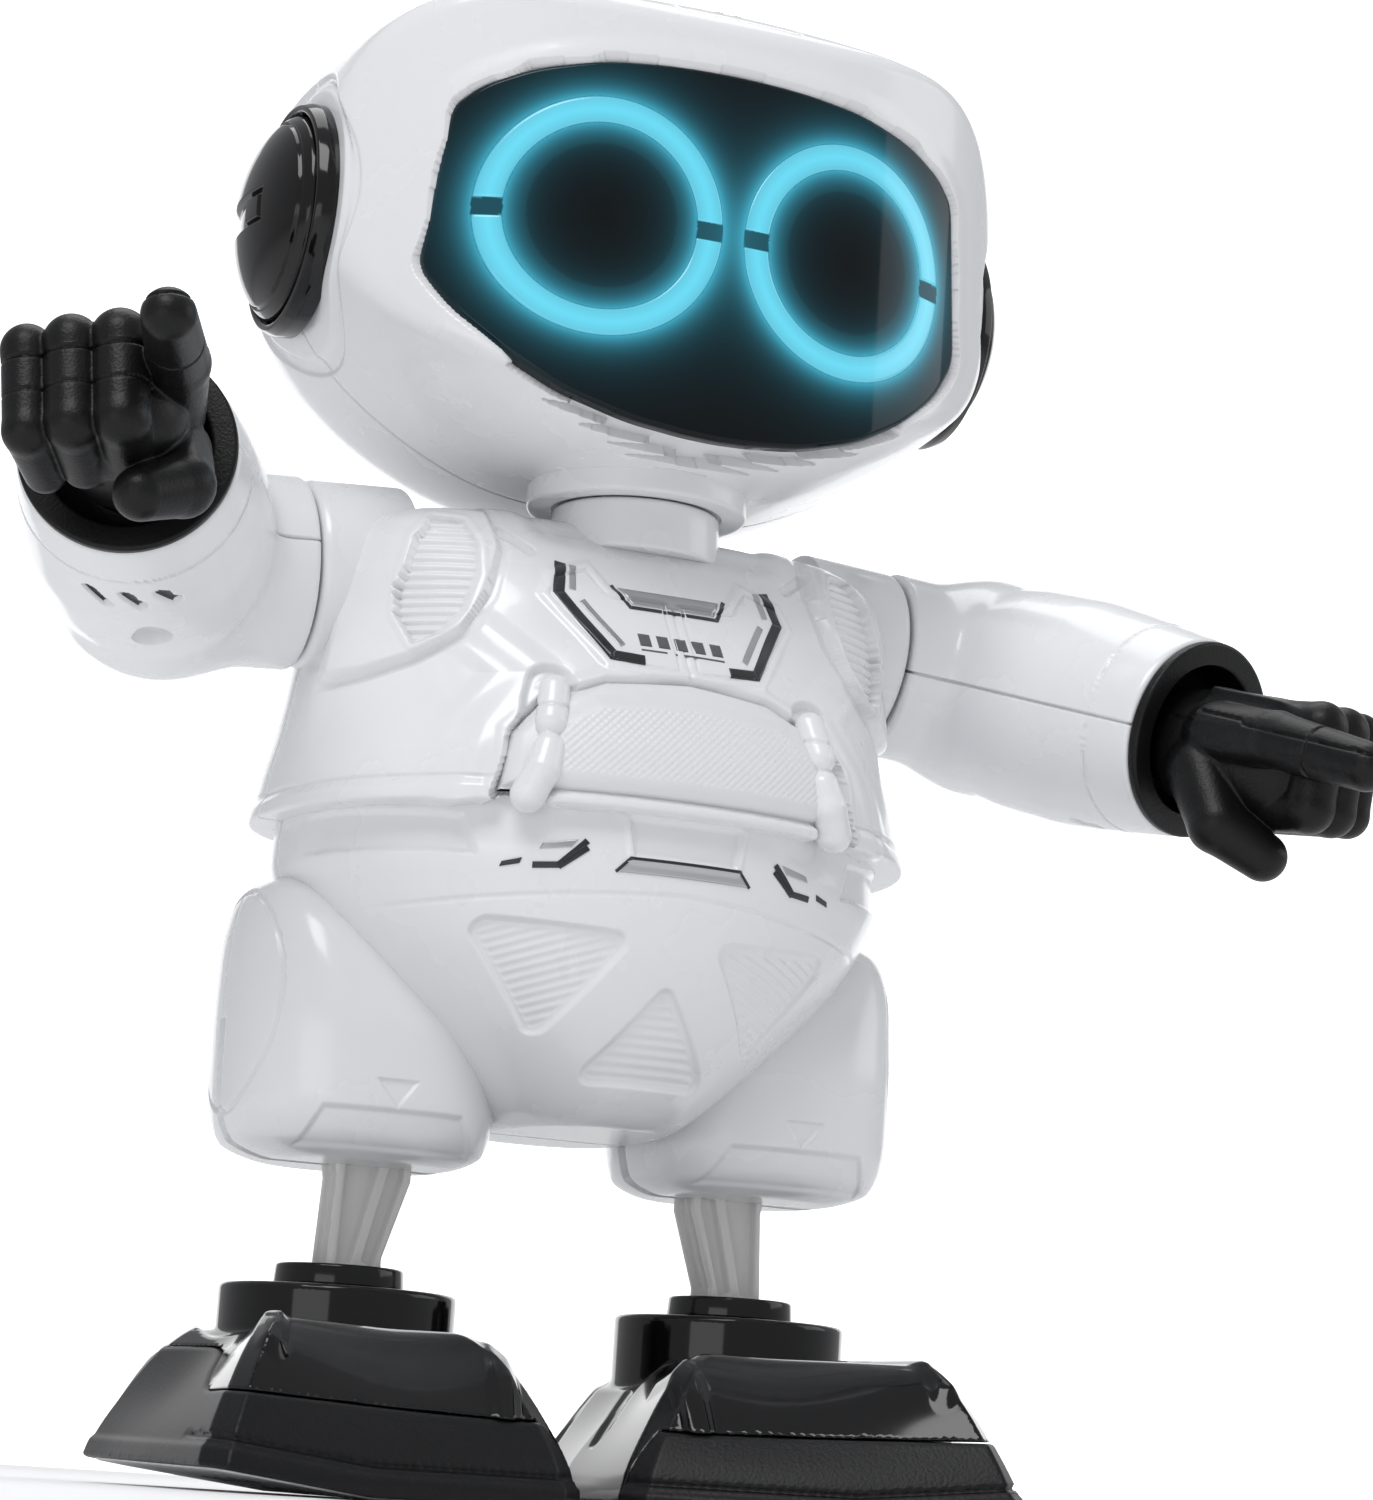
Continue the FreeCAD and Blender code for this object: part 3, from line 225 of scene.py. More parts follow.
def f_vest(p):
    x, y, z = p[:, 0], p[:, 1], p[:, 2]
    ax = np.abs(x)
    f = section(p, VEST)
    f = smax(f, z - 139.8, 2.6)
    f = smax(f, VEST_Z0 - z, .9)
    front = sst(2, -4, y)
    # shallow dish round the neck
    rn = np.hypot(x, y + 7)
    f = f + 1.5 * sst(21.5, 17.5, rn) * sst(132, 136, z)
    # shoulder bosses stand proud with a lip round a ribbed inset
    db = sdpoly(ax, z, BOSS)
    f = f - 1.5 * sst(.7, -.7, db) * front + .35 * sst(.9, .2, np.abs(db - 1.1)) * front
    di = sdpoly(ax, z, RIBIN)
    ribs = .5 + .5 * np.cos(z * 2 * np.pi / 1.35)
    f = f + front * sst(.25, -.25, di) * (.95 + .55 * ribs)
    f = f - .22 * front * sst(1.5, .9, di) * sst(.1, .5, di)
    # small slot beside the boss
    ds = sdseg(ax, z, [(19.6, 131.2), (23.4, 134.0)]) - .75
    f = f + .8 * front * sst(.2, -.25, ds)
    # chest plate: raised trapezoid with a fine line round it
    dp = sdpoly(ax, z, PLATE)
    f = f - .55 * front * sst(.5, -.6, dp)
    f = f + .3 * front * sst(.28, .1, np.abs(dp + 1.4))
    # soft facets of the bib: from the boss down to the middle of the hem
    dl = sdseg(ax, z, [(27.0, 118.5), (20.5, 112.0), (27.5, 104.0), (31.5, VEST_Z0)])
    f = f - .55 * front * sst(3.4, 0, dl) + .0
    f = f + .5 * front * sst(12, 4, sdpoly(ax, z, [(30, 118), (22, 112), (29, 104), (33, 96), (44, 96), (44, 112)]) + 8) * sst(3.4, 6, dl)
    # pocket window with a rolled edge
    dw = sdpoly(x, z, POCKET)
    f = f + front * 1.2 * sst(.8, -.5, dw)
    f = f - .5 * front * sst(2.6, 1.0, dw) * sst(.1, 1.0, dw)
    # recess that carries each toggle
    dt = sdseg(ax, z, [(19.4, 110.0), (21.2, 102.0), (23.2, 94.0)]) - 3.0
    f = f + 1.5 * front * sst(.8, -.8, dt)
    # side seam between the front and rear halves
    f = f + .9 * sst(.30, .13, np.abs(y - 9.02))
    # rolled hem
    f = f - .35 * sst(2.4, 1.5, z - VEST_Z0) + .3 * sst(.5, .2, np.abs(z - VEST_Z0 - 2.9)) * sst(20, 24, ax)
    # back: window of the slide switch, screw wells
    f = f + 1.6 * (y > 20) * sst(.2, -.2, np.maximum(ax - 6, np.abs(z - 106.4) - 2.4))
    for sx_, sz_ in ((30, 124), (31, 105)):
        f = f + 1.5 * (y > 15) * sst(.2, -.2, np.hypot(ax - sx_, z - sz_) - 2.6)
    f = f + .3 * (y > 15) * sst(.3, .1, np.abs(sdpoly(x, z, [(-22, 130), (22, 130), (24, 112), (-24, 112)])))
    return f


def f_pocket(p):
    x, z = p[:, 0], p[:, 2]
    f = section(p, VEST) - 1.35
    dw = sdpoly(x, z, POCKET) + .28
    f = smax(f, dw, 1.3)
    # bevelled face: the middle stands out beyond a crease along the top and the ends
    inner = sdpoly(x, z, [(-20.5, 97.5), (-18.5, 104.4), (-13.5, 107.4), (0, 108.6), (13.5, 107.4), (18.5, 104.4), (20.5, 97.5)])
    f = f + .7 * sst(-.6, 1.6, inner)
    # fine woven grid
    w = .10 * (np.cos(x * 2 * np.pi / 1.15) * np.cos((z + .0) * 2 * np.pi / 1.15))
    f = f + w * sst(.4, -.6, inner)
    for i in range(9):
        dxs = sdseg(x, z, [(-12 + 3 * i, 101.9), (-12 + 3 * i, 108.1)]) - .4
        f = f + 0.0 * dxs
    return f


INSET_S = [(17.6, 83.6), (19.4, 84.2), (30.5, 81.0), (32.2, 78.6), (24.6, 67.4), (22.6, 66.6)]


def rtri(px, pz, pts, r):
    """Rounded polygon distance."""
    return sdpoly(px, pz, pts) - r


def f_belly(p):
    x, y, z = p[:, 0], p[:, 1], p[:, 2]
    ax = np.abs(x)
    f = section(p, BELLY)
    f = smax(f, 52.2 - z, 2.2)
    f = smax(f, z - 101.0, 1.0)
    front = sst(2, -4, y)
    # distance to the pelvis V line below the belt; it is computed but not used
    dv = sdseg(ax, z, [(0, 55.5), (9.0, 56.0), (24.0, 65.5), (38.0, 79.0)])
    # three rounded triangle insets
    side = rtri(ax, z, [(8.6, 75.6), (24.5, 76.6), (15.8, 65.2)], 1.6)
    f = f + front * (.7 * sst(.45, -.45, side))
    f = f + front * .16 * sst(-.6, -1.0, side) * (.5 + .5 * np.cos((z + .35 * ax) * 2 * np.pi / 1.3)) * (x > -60)
    mid = rtri(ax, z, [(-7.2, 58.9), (0, 68.8), (7.2, 58.9)], 1.4)
    f = f + front * (.7 * sst(.45, -.45, mid))
    f = f + front * .16 * sst(-.6, -1.0, mid) * (.5 + .5 * np.cos((z) * 2 * np.pi / 1.3))
    # belt recesses under the hem
    dside = sdpoly(ax, z, [(45, 92.3), (41.5, 92.8), (29.0, 91.6), (27.4, 86.6), (44.0, 87.4)])
    f = f + front * .8 * sst(.4, -.4, dside)
    dmid = sdpoly(ax, z, [(-8.2, 92.6), (8.2, 92.6), (7.4, 87.6), (-7.4, 87.6)])
    f = f + front * .65 * sst(.4, -.4, dmid)
    f = f - .25 * front * sst(1.4, .7, dmid) * sst(.1, .5, dmid)
    # soft horizontal line where the belt meets the pelvis
    f = f + .18 * front * sst(.5, .1, np.abs(z - (82.6 - .02 * ax ** 1.4))) * sst(40, 30, ax)
    # seam between the halves and the cell door at the back
    f = f + .9 * sst(.30, .13, np.abs(y - 9.02))
    dd = np.maximum(ax - 27, np.abs(z - 78.5) - 12.4)
    f = f + .8 * (y > 14) * sst(.28, .1, np.abs(dd))
    f = f + 1.2 * (y > 14) * sst(.2, -.2, np.hypot(x, z - 88) - 2.7)
    f = f + .5 * (y > 14) * sst(.2, -.2, np.maximum(np.abs(x) - 9, np.abs(z - 69.4) - 1.2))
    return f


# ------------------------------------------------------------------ thigh covers
THIGH = [(45.6, 29.6, 14.6, 16.0, 10), (48.0, 30.2, 17.8, 18.8, 10), (54.0, 30.6, 19.2, 20.6, 10), (63.0, 31.2, 18.8, 20.4, 10), (71.0, 34.0, 16.0, 18.4, 10),
         (77.5, 37.6, 12.0, 15.2, 10), (82.5, 40.4, 7.8, 10.6, 10), (85.0, 41.6, 4.2, 6.0, 10)]


def f_thigh(p):
    """Left cover in its own side (x positive)."""
    S = np.asarray(THIGH, float)
    z = p[:, 2]
    cx, a, b, yc = (pch(S[:, 0], S[:, i], z) for i in (1, 2, 3, 4))
    over = np.clip(z - 85.0, 0, 10)
    x, y = p[:, 0] - cx, p[:, 1] - yc
    r = np.hypot(x, y) + 1e-9
    q = (np.abs(x / a) ** 2.5 + np.abs(y / b) ** 2.5) ** (1 / 2.5)
    f = (q - 1) * r / np.maximum(q, .2)
    f = smax(f, z - 85.2, 3.0)
    f = smax(f, 45.7 - z, 3.2)
    fr = sst(10, 4, p[:, 1])
    # recess and small triangle low on the front
    rec = sdpoly(x, z, [(-12.5, 47.0), (-10.0, 52.2), (10.0, 52.2), (12.5, 47.0)])
    f = f + .5 * fr * sst(.5, -.5, rec)
    t3 = sdpoly(x, z, [(-3.0, 56.4), (3.0, 56.4), (0, 52.6)])
    f = f + .45 * fr * sst(.2, -.25, t3)
    # oval seam round the hip on the outer side
    dy, dz = (p[:, 1] - 9) / 13.0, (z - 67) / 15.5
    rr = np.hypot(dy, dz)
    f = f + .45 * sst(.03, .012, np.abs(rr - 1)) * (x > 2)
    # slit for the leg
    sl = np.maximum(np.abs(p[:, 1] - 10.6) - 1.25, z - 64.5)
    f = f + 2.6 * sst(.15, -.15, sl)
    f = f + .8 * sst(.28, .12, np.abs(p[:, 1] - 10.6)) * (z >= 63)
    return f


# ------------------------------------------------------------------ arms, hands
DROOP, ELBOW_AT, ELBOW_BEND, FORE_L, HUB_LEN = 4.0, 28.2, 68.0, 42.0, 8.6
SHOULDER = (37.3, 7.5, 129.3)
RAISE = {1: -15.4, -1: 9.3}
_A = np.radians(ELBOW_BEND)
E3 = np.array([ELBOW_AT, 0, 0.])
HD = np.array([np.cos(_A), -np.sin(_A), 0.]); MD = np.array([-np.sin(_A), -np.cos(_A), 0.]); ND = np.array([0, 0, 1.])
BELL_S, BELL_R = [-18, -8, 0, 5, 12, 20, 28, 34, 38, 42], [15.0, 15.1, 15.5, 16.3, 16.9, 17.0, 16.4, 15.7, 15.2, 14.6]


def f_arm(p):
    """Upper arm, elbow and forearm in the arm's own frame (left)."""
    e = p - E3
    s = e @ HD
    rr = np.linalg.norm(e - s[:, None] * HD, axis=1)
    R = pch(BELL_S, BELL_R, s)
    fore = smax((rr - R) * .97, s - 42.0, .7)
    fore = smax(fore, -s - 2, 3)
    ball = np.linalg.norm(e, axis=1) - 16.6
    ru = np.hypot(p[:, 1], p[:, 2])
    upper = smax(ru - 13.9, 9.05 - p[:, 0], 1.0)
    upper = smax(upper, p[:, 0] - 30, 2)
    f = smin(smin(fore, ball, 1.5), upper, 2.6)
    # moulded parting line along the whole arm, stepping round the elbow
    f = f + .75 * sst(.26, .11, np.abs(p[:, 2]))
    # seam groove before the cuff, as a shallow arc
    f = f + .55 * sst(.30, .12, np.abs(s - 34.6)) * (s > 5)
    # open mouth that takes the cuff ring
    f = smax(f, -np.maximum(rr - 11.3, 36.2 - s), .12)
    # screw well under the forearm
    q = E3 + HD * 16
    w = np.hypot(p[:, 0] - q[0], p[:, 1] - q[1])
    f = f + 2.0 * sst(.2, -.2, w - 2.6) * (p[:, 2] < -4)
    # three slanted slots near the cuff on the underside
    m = e @ MD
    for k in (-1, 0, 1):
        d = sdseg(s, m, [(27.2 + .0 * k, -1.2 + 4.6 * k + 1.0), (30.6, -1.2 + 4.6 * k - 1.0)]) - .75
        f = f + .8 * sst(.22, -.22, d) * (p[:, 2] < -4)
    return f


def hand_sdf(p):
    """Hand in its own axes: a along the forearm from the cuff, b towards the middle, c to the back of the hand."""
    cp = lambda a, b, ra, rb: capsule(p, a, b, ra, rb)
    f = smin(cp((-8, 0, 0), (2.5, 0, 0), 7.0, 7.4), cp((4, 1.0, -1.5), (15, 0, -1.0), 8.2, 9.2), 2.2)
    # flat plate over the knuckles
    plate = np.maximum(np.maximum(np.abs(p[:, 0] - 13.5) - 8.2, np.abs(p[:, 1] + 3.2) - 8.4), np.abs(p[:, 2] - 5.0) - 3.2)
    f = smin(f, smax(plate, f - 2.4, 1.5), 1.6)
    for b, r, t in ((1.8, 3.6, 23.6), (-4.4, 3.5, 22.8), (-10.2, 3.2, 21.2)):
        g = cp((12, b * .85, 4.0), (t, b, 5.6), r + .2, r + .15)
        g = smin(g, cp((t, b, 5.6), (t + 1.2, b, -5.8), r + .15, r), .5)
        g = smin(g, cp((t + 1.2, b, -5.8), (t - 8, b * .9, -7.6), r, r - .35), .5)
        f = smin(f, g, .45)
    g = smin(cp((9, 6.4, 1.5), (22, 8.8, 2.6), 4.6, 4.05), cp((22, 8.8, 2.6), (38.3, 9.2, 1.8), 4.05, 3.5), .5)
    f = smin(f, g, .5)
    g = smin(cp((8, 6.6, -4.0), (14.5, 8.2, -11.0), 5.0, 4.2), cp((14.5, 8.2, -11.0), (20.0, 3.4, -14.0), 4.15, 3.55), .5)
    f = smin(f, g, .6)
    # stepped parting line round the hand, and finger joints
    line = np.abs(p[:, 2] - (2.6 + 1.6 * sst(7.6, 8.2, p[:, 0]) - .6 * sst(17, 18, p[:, 0])))
    f = f + .38 * sst(.30, .10, line) * sst(1.0, 2.0, p[:, 0])
    f = f + .3 * sst(.26, .08, np.abs(p[:, 0] - 29.5 - .1 * p[:, 2])) * (p[:, 1] > 4.5)
    f = f + .25 * sst(.24, .08, np.abs(p[:, 2] + 1.2)) * (p[:, 0] > 20) * (p[:, 1] < 5.5)
    return f


# ------------------------------------------------------------------ legs
LEG_X, LEG_Y, HIP_Z, ANKLE_Z, TURRET_R, DISC_R, DISC_TOP, TOE = 30.1, 10.6, 66.0, 23.0, 16.7, 9.2, 31.6, 6.35


def f_strut(p):
    """Left leg, ribbed flat bar."""
    x, y, z = p[:, 0], p[:, 1] - LEG_Y, p[:, 2]
    out = [(25.2, 30.0), (25.3, 33.0), (21.8, 44.0), (21.8, 50.0), (25.6, 62), (34.4, 62), (33.5, 50.0), (32.5, 44.0), (33.1, 32.0), (33.1, 30.0), (33.0, 26), (27.2, 26)]
    d = sdpoly(x, z, out)
    f = smax(d, np.abs(y) - 3.95, .5)
    for pts in ([(26.6, 31.5), (28.3, 32.4), (24.4, 48.5), (22.9, 48.5), (22.9, 44.4)], [(29.9, 32.0), (32.0, 31.8), (31.5, 48.5), (26.0, 48.5)]):
        dp = sdpoly(x, z, pts) + .15
        f = f + 1.5 * sst(.25, -.25, dp) * sst(2.2, 2.5, np.abs(y))
    # ribs on the side faces
    side = np.abs(y) - 2.6
    f = f + 1.0 * sst(.2, -.2, side) * sst(31.0, 31.6, z) * sst(49, 48.6, z) * sst(-1.1, -.7, d) * 1.0
    f = f - .9 * sst(.3, .1, np.abs(y)) * sst(31.0, 31.6, z) * sst(-1.4, -.7, d)
    return f


FOOT_OUT = [(24.0, -55.6), (26.6, -52.0), (31.5, 12.0), (30.0, 19.0), (24.0, 23.6), (-16.0, 23.6), (-23.0, 19.0), (-25.6, 12.0), (-27.0, -10.0), (-26.0, -38.0), (-23.0, -41.6)]
INS_Z, INS_K = [0, 1.8, 4.6, 12.6, 19.2, 22.6], [.6, 0, .8, 6.0, 12.0, 17.0]


def foot_base(p):
    """Left shoe about its turret axis, before yaw: distance to the sloping body."""
    x, y, z = p[:, 0], p[:, 1], p[:, 2]
    k = pch(INS_Z, INS_K, z)
    dx, dy = x - 2.0, y + 14.0
    d = np.hypot(dx, dy) + 1e-9
    # move the point outward by the inset and measure against the plan
    X, Y = 2.0 + dx * (d + k) / d, -14.0 + dy * (d + k) / d
    f = (sdpoly(X, Y, FOOT_OUT)) * .82
    f = smax(f, z - 22.6, 2.0)
    return f


def camber(x):
    return np.clip((x - 4.0) / 28.0, 0, 1.3) * 3.2


def bumper_line(x, y):
    """Height of the S-shaped line between the matte bumper and the glossy top."""
    side = 12.4 + 6.5 * sst(-36, -8, y) - 2.5 * sst(4, 20, y)
    toe = 11.6 + .04 * x
    return np.where(y > -26, side, toe + (side - toe) * sst(-44, -26, y))


# ------------------------------------------------------------------ mesh making
def solve(f, o, d, lo, hi, n=14):
    """Root of f along o + t*d for each row of d, inside at lo and outside at hi."""
    m = len(d)
    a, b = np.full(m, float(lo)) if np.isscalar(lo) else lo.copy(), np.full(m, float(hi)) if np.isscalar(hi) else hi.copy()
    fa, fb = f(o + a[:, None] * d), f(o + b[:, None] * d)
    side, best, err = np.zeros(m, int), a.copy(), np.full(m, 1e9)
    for i in range(n):
        t = .5 * (a + b) if i < 5 else np.clip((a * fb - b * fa) / np.where(np.abs(fb - fa) < 1e-12, 1e-12, fb - fa), a, b)
        ft = f(o + t[:, None] * d)
        s = ft < 0
        if i >= 5:
            # halve the end that is kept twice, so both ends close in
            fb = np.where(s & (side > 0), fb * .5, fb)
            fa = np.where(~s & (side < 0), fa * .5, fa)
            side = np.where(s, 1, -1)
        k = np.abs(ft) < err
        best, err = np.where(k, t, best), np.where(k, np.abs(ft), err)
        a, fa = np.where(s, t, a), np.where(s, ft, fa)
        b, fb = np.where(s, b, t), np.where(s, fb, ft)
    return o + best[:, None] * d


def cube_dirs(n, fine=()):
    a = np.linspace(-45, 45, n + 1)
    if len(fine):
        k = np.array([q for g in fine for q in (g, -g)])
        a = a[np.abs(a) > max(fine) * 1.05]
        a = np.r_[a, k, 0.0]
    a = np.unique(np.round(a, 5)); t = np.tan(np.radians(a)); m = len(t)
    U, W = np.meshgrid(t, t, indexing="ij")
    V_, Q = [], []
    for ax in range(3):
        for sg in (1, -1):
            c = np.zeros((m, m, 3)); c[..., ax] = sg; c[..., (ax + 1) % 3] = U; c[..., (ax + 2) % 3] = W
            base = len(V_) * m * m
            V_.append(c.reshape(-1, 3))
            i = np.arange(m * m).reshape(m, m) + base
            q = np.stack([i[:-1, :-1], i[1:, :-1], i[1:, 1:], i[:-1, 1:]], -1).reshape(-1, 4)
            Q.append(q if sg > 0 else q[:, ::-1])
    V_ = np.concatenate(V_); Q = np.concatenate(Q)
    V_ /= np.linalg.norm(V_, axis=1)[:, None]
    key, first, inv = np.unique(np.round(V_, 6), axis=0, return_index=True, return_inverse=True)
    return V_[first], inv.reshape(-1)[Q]


def star(c, f, n, rmax, fine=(), rmin=3.0, stretch=(1, 1, 1)):
    d, q = cube_dirs(n, fine)
    d = d * np.asarray(stretch, float); d /= np.linalg.norm(d, axis=1)[:, None]
    return solve(f, np.asarray(c, float), d, rmin, rmax), q


def vox(f, lo, hi, h, newton=2):
    import openvdb
    lo, hi = np.asarray(lo, float), np.asarray(hi, float)
    n = np.ceil((hi - lo) / h).astype(int) + 1
    g = np.empty(n, np.float32)
    X = lo[0] + h * np.arange(n[0]); Y = lo[1] + h * np.arange(n[1]); Z = lo[2] + h * np.arange(n[2])
    yy, zz = np.meshgrid(Y, Z, indexing="ij")
    step = max(1, int(600000 / (n[1] * n[2])))
    for i in range(0, n[0], step):
        xs = X[i:i + step]
        p = np.empty((len(xs), n[1], n[2], 3)); p[..., 0] = xs[:, None, None]; p[..., 1] = yy; p[..., 2] = zz
        g[i:i + step] = f(p.reshape(-1, 3)).reshape(len(xs), n[1], n[2])
    grid = openvdb.FloatGrid(float(3 * h)); grid.copyFromArray(np.clip(g, -3 * h, 3 * h))
    v, q = grid.convertToQuads(0.0)
    v = np.asarray(v, float) * h + lo
    for _ in range(newton):
        f0 = f(v); e = .04
        G = np.stack([(f(v + np.eye(3)[k] * e) - f0) / e for k in range(3)], 1)
        g2 = (G * G).sum(1)
        s = np.clip(-f0 / np.maximum(g2, .25), -.5 * h, .5 * h)
        v = v + s[:, None] * G
    return v, np.asarray(q, int)


def rotz(p, deg):
    a = np.radians(deg); c, s = np.cos(a), np.sin(a); q = p.copy()
    q[:, 0], q[:, 1] = p[:, 0] * c - p[:, 1] * s, p[:, 0] * s + p[:, 1] * c
    return q


def place_arm(p, sx):
    q = p.copy(); q[:, 0] *= sx
    a = np.radians(-RAISE[sx]); y, z = q[:, 1].copy(), q[:, 2].copy()
    q[:, 1], q[:, 2] = y * np.cos(a) - z * np.sin(a), y * np.sin(a) + z * np.cos(a)
    b = np.radians(DROOP * sx); x, z = q[:, 0].copy(), q[:, 2].copy()
    q[:, 0], q[:, 2] = x * np.cos(b) + z * np.sin(b), -x * np.sin(b) + z * np.cos(b)
    return q + np.array([sx * SHOULDER[0], SHOULDER[1], SHOULDER[2]])


def lathe(prof, n=160):
    """Profile (radius, height) turned about z, closed at both ends on the axis if radius 0."""
    prof = np.asarray(prof, float); m = len(prof)
    t = np.linspace(0, 2 * np.pi, n, endpoint=False)
    v = np.stack([np.outer(prof[:, 0], np.cos(t)), np.outer(prof[:, 0], np.sin(t)), np.repeat(prof[:, 1][:, None], n, 1)], -1).reshape(-1, 3)
    q = [[i * n + k, i * n + (k + 1) % n, (i + 1) * n + (k + 1) % n, (i + 1) * n + k] for i in range(m - 1) for k in range(n)]
    return v, np.array(q)


def bevel_profile(pts, r, k=4):
    """Round every inner corner of an open profile."""
    pts = [np.array(p, float) for p in pts]; out = [pts[0]]
    for a, b, c in zip(pts, pts[1:], pts[2:]):
        ra = min(r, .45 * np.linalg.norm(a - b), .45 * np.linalg.norm(c - b))
        p0 = b + (a - b) / max(np.linalg.norm(a - b), 1e-9) * ra; p2 = b + (c - b) / max(np.linalg.norm(c - b), 1e-9) * ra
        for t in np.linspace(0, 1, k + 1):
            out.append((1 - t) ** 2 * p0 + 2 * t * (1 - t) * b + t * t * p2)
    out.append(pts[-1])
    return np.array(out)


def patch(corner4, nu, nv):
    """Bilinear grid of 2D points."""
    a, b, c, d = (np.asarray(q, float) for q in corner4)
    u = np.linspace(0, 1, nu)[:, None, None]; v = np.linspace(0, 1, nv)[None, :, None]
    g = (1 - u) * (1 - v) * a + u * (1 - v) * b + u * v * c + (1 - u) * v * d
    return g.reshape(-1, 2)


def grid_quads(nu, nv, base=0):
    i = np.arange(nu * nv).reshape(nu, nv) + base
    return np.stack([i[:-1, :-1], i[1:, :-1], i[1:, 1:], i[:-1, 1:]], -1).reshape(-1, 4)


def sheet_solid(top, quads, down):
    """Thin closed sheet: top points and the same points moved by down."""
    n = len(top)
    v = np.concatenate([top, top + down])
    from collections import Counter
    e = Counter()
    for q in quads:
        for k in range(4):
            a, b = int(q[k]), int(q[(k + 1) % 4]); e[(a, b)] += 1
    rim = [(a, b) for (a, b) in e if (b, a) not in e]
    q = np.concatenate([quads, quads[:, ::-1] + n, np.array([[a, a + n, b + n, b] for a, b in rim])])
    return v, q


# ------------------------------------------------------------------ materials
SHIFT = np.array([0.821, 14.884, 0.0])


def nodes_of(name):
    m = bpy.data.materials.new(name); m.use_nodes = True
    nt = m.node_tree
    return m, nt, nt.nodes["Principled BSDF"]


def plastic(name, rgb, rough, coat=0.0, grain=0.0, grain_scale=1800.0, mottled=.05, spec=.5, sub=0.0, vary=.03, metal=0.0):
    m, nt, b = nodes_of(name)
    b.inputs["Base Color"].default_value = (*rgb, 1)
    b.inputs["Roughness"].default_value = rough
    b.inputs["Metallic"].default_value = metal
    b.inputs["Specular IOR Level"].default_value = spec
    b.inputs["Coat Weight"].default_value = coat
    b.inputs["Coat Roughness"].default_value = .08
    if sub:
        b.inputs["Subsurface Weight"].default_value = sub
        b.inputs["Subsurface Scale"].default_value = .002
        b.inputs["Subsurface Radius"].default_value = (1, .9, .8)
    tc = nt.nodes.new("ShaderNodeTexCoord")
    n1 = nt.nodes.new("ShaderNodeTexNoise"); n1.inputs["Scale"].default_value = 45; n1.inputs["Detail"].default_value = 5
    nt.links.new(tc.outputs["Object"], n1.inputs["Vector"])
    mr = nt.nodes.new("ShaderNodeMapRange"); mr.inputs["To Min"].default_value = max(.02, rough - mottled); mr.inputs["To Max"].default_value = rough + mottled
    nt.links.new(n1.outputs["Fac"], mr.inputs["Value"]); nt.links.new(mr.outputs["Result"], b.inputs["Roughness"])
    mix = nt.nodes.new("ShaderNodeMix"); mix.data_type = "RGBA"
    mix.inputs["A"].default_value = (*[c * (1 - vary) for c in rgb], 1); mix.inputs["B"].default_value = (*[min(1, c * (1 + vary)) for c in rgb], 1)
    n2 = nt.nodes.new("ShaderNodeTexNoise"); n2.inputs["Scale"].default_value = 22; n2.inputs["Detail"].default_value = 3
    nt.links.new(tc.outputs["Object"], n2.inputs["Vector"]); nt.links.new(n2.outputs["Fac"], mix.inputs["Factor"])
    nt.links.new(mix.outputs["Result"], b.inputs["Base Color"])
    n3 = nt.nodes.new("ShaderNodeTexNoise"); n3.inputs["Scale"].default_value = grain_scale; n3.inputs["Detail"].default_value = 2
    nt.links.new(tc.outputs["Object"], n3.inputs["Vector"])
    bp = nt.nodes.new("ShaderNodeBump"); bp.inputs["Strength"].default_value = grain if grain else .03; bp.inputs["Distance"].default_value = .0001
    nt.links.new(n3.outputs["Fac"], bp.inputs["Height"]); nt.links.new(bp.outputs["Normal"], b.inputs["Normal"])
    return m


def glow_material(name, rgb, strength, attr=None, base=(.01, .012, .014), rough=.07, coat=.5, spec=.5):
    m, nt, b = nodes_of(name)
    b.inputs["Base Color"].default_value = (*base, 1); b.inputs["Roughness"].default_value = rough; b.inputs["Specular IOR Level"].default_value = spec
    b.inputs["Coat Weight"].default_value = coat; b.inputs["Coat Roughness"].default_value = .04
    b.inputs["Emission Color"].default_value = (*rgb, 1)
    b.inputs["Emission Strength"].default_value = strength
    tc = nt.nodes.new("ShaderNodeTexCoord")
    n1 = nt.nodes.new("ShaderNodeTexNoise"); n1.inputs["Scale"].default_value = 60; n1.inputs["Detail"].default_value = 4
    nt.links.new(tc.outputs["Object"], n1.inputs["Vector"])
    mr = nt.nodes.new("ShaderNodeMapRange"); mr.inputs["To Min"].default_value = max(0, rough - .03); mr.inputs["To Max"].default_value = rough + .05
    nt.links.new(n1.outputs["Fac"], mr.inputs["Value"]); nt.links.new(mr.outputs["Result"], b.inputs["Roughness"])
    if attr:
        at = nt.nodes.new("ShaderNodeAttribute"); at.attribute_name = attr
        mu = nt.nodes.new("ShaderNodeMath"); mu.operation = "MULTIPLY"; mu.inputs[1].default_value = strength
        nt.links.new(at.outputs["Fac"], mu.inputs[0]); nt.links.new(mu.outputs[0], b.inputs["Emission Strength"])
    return m


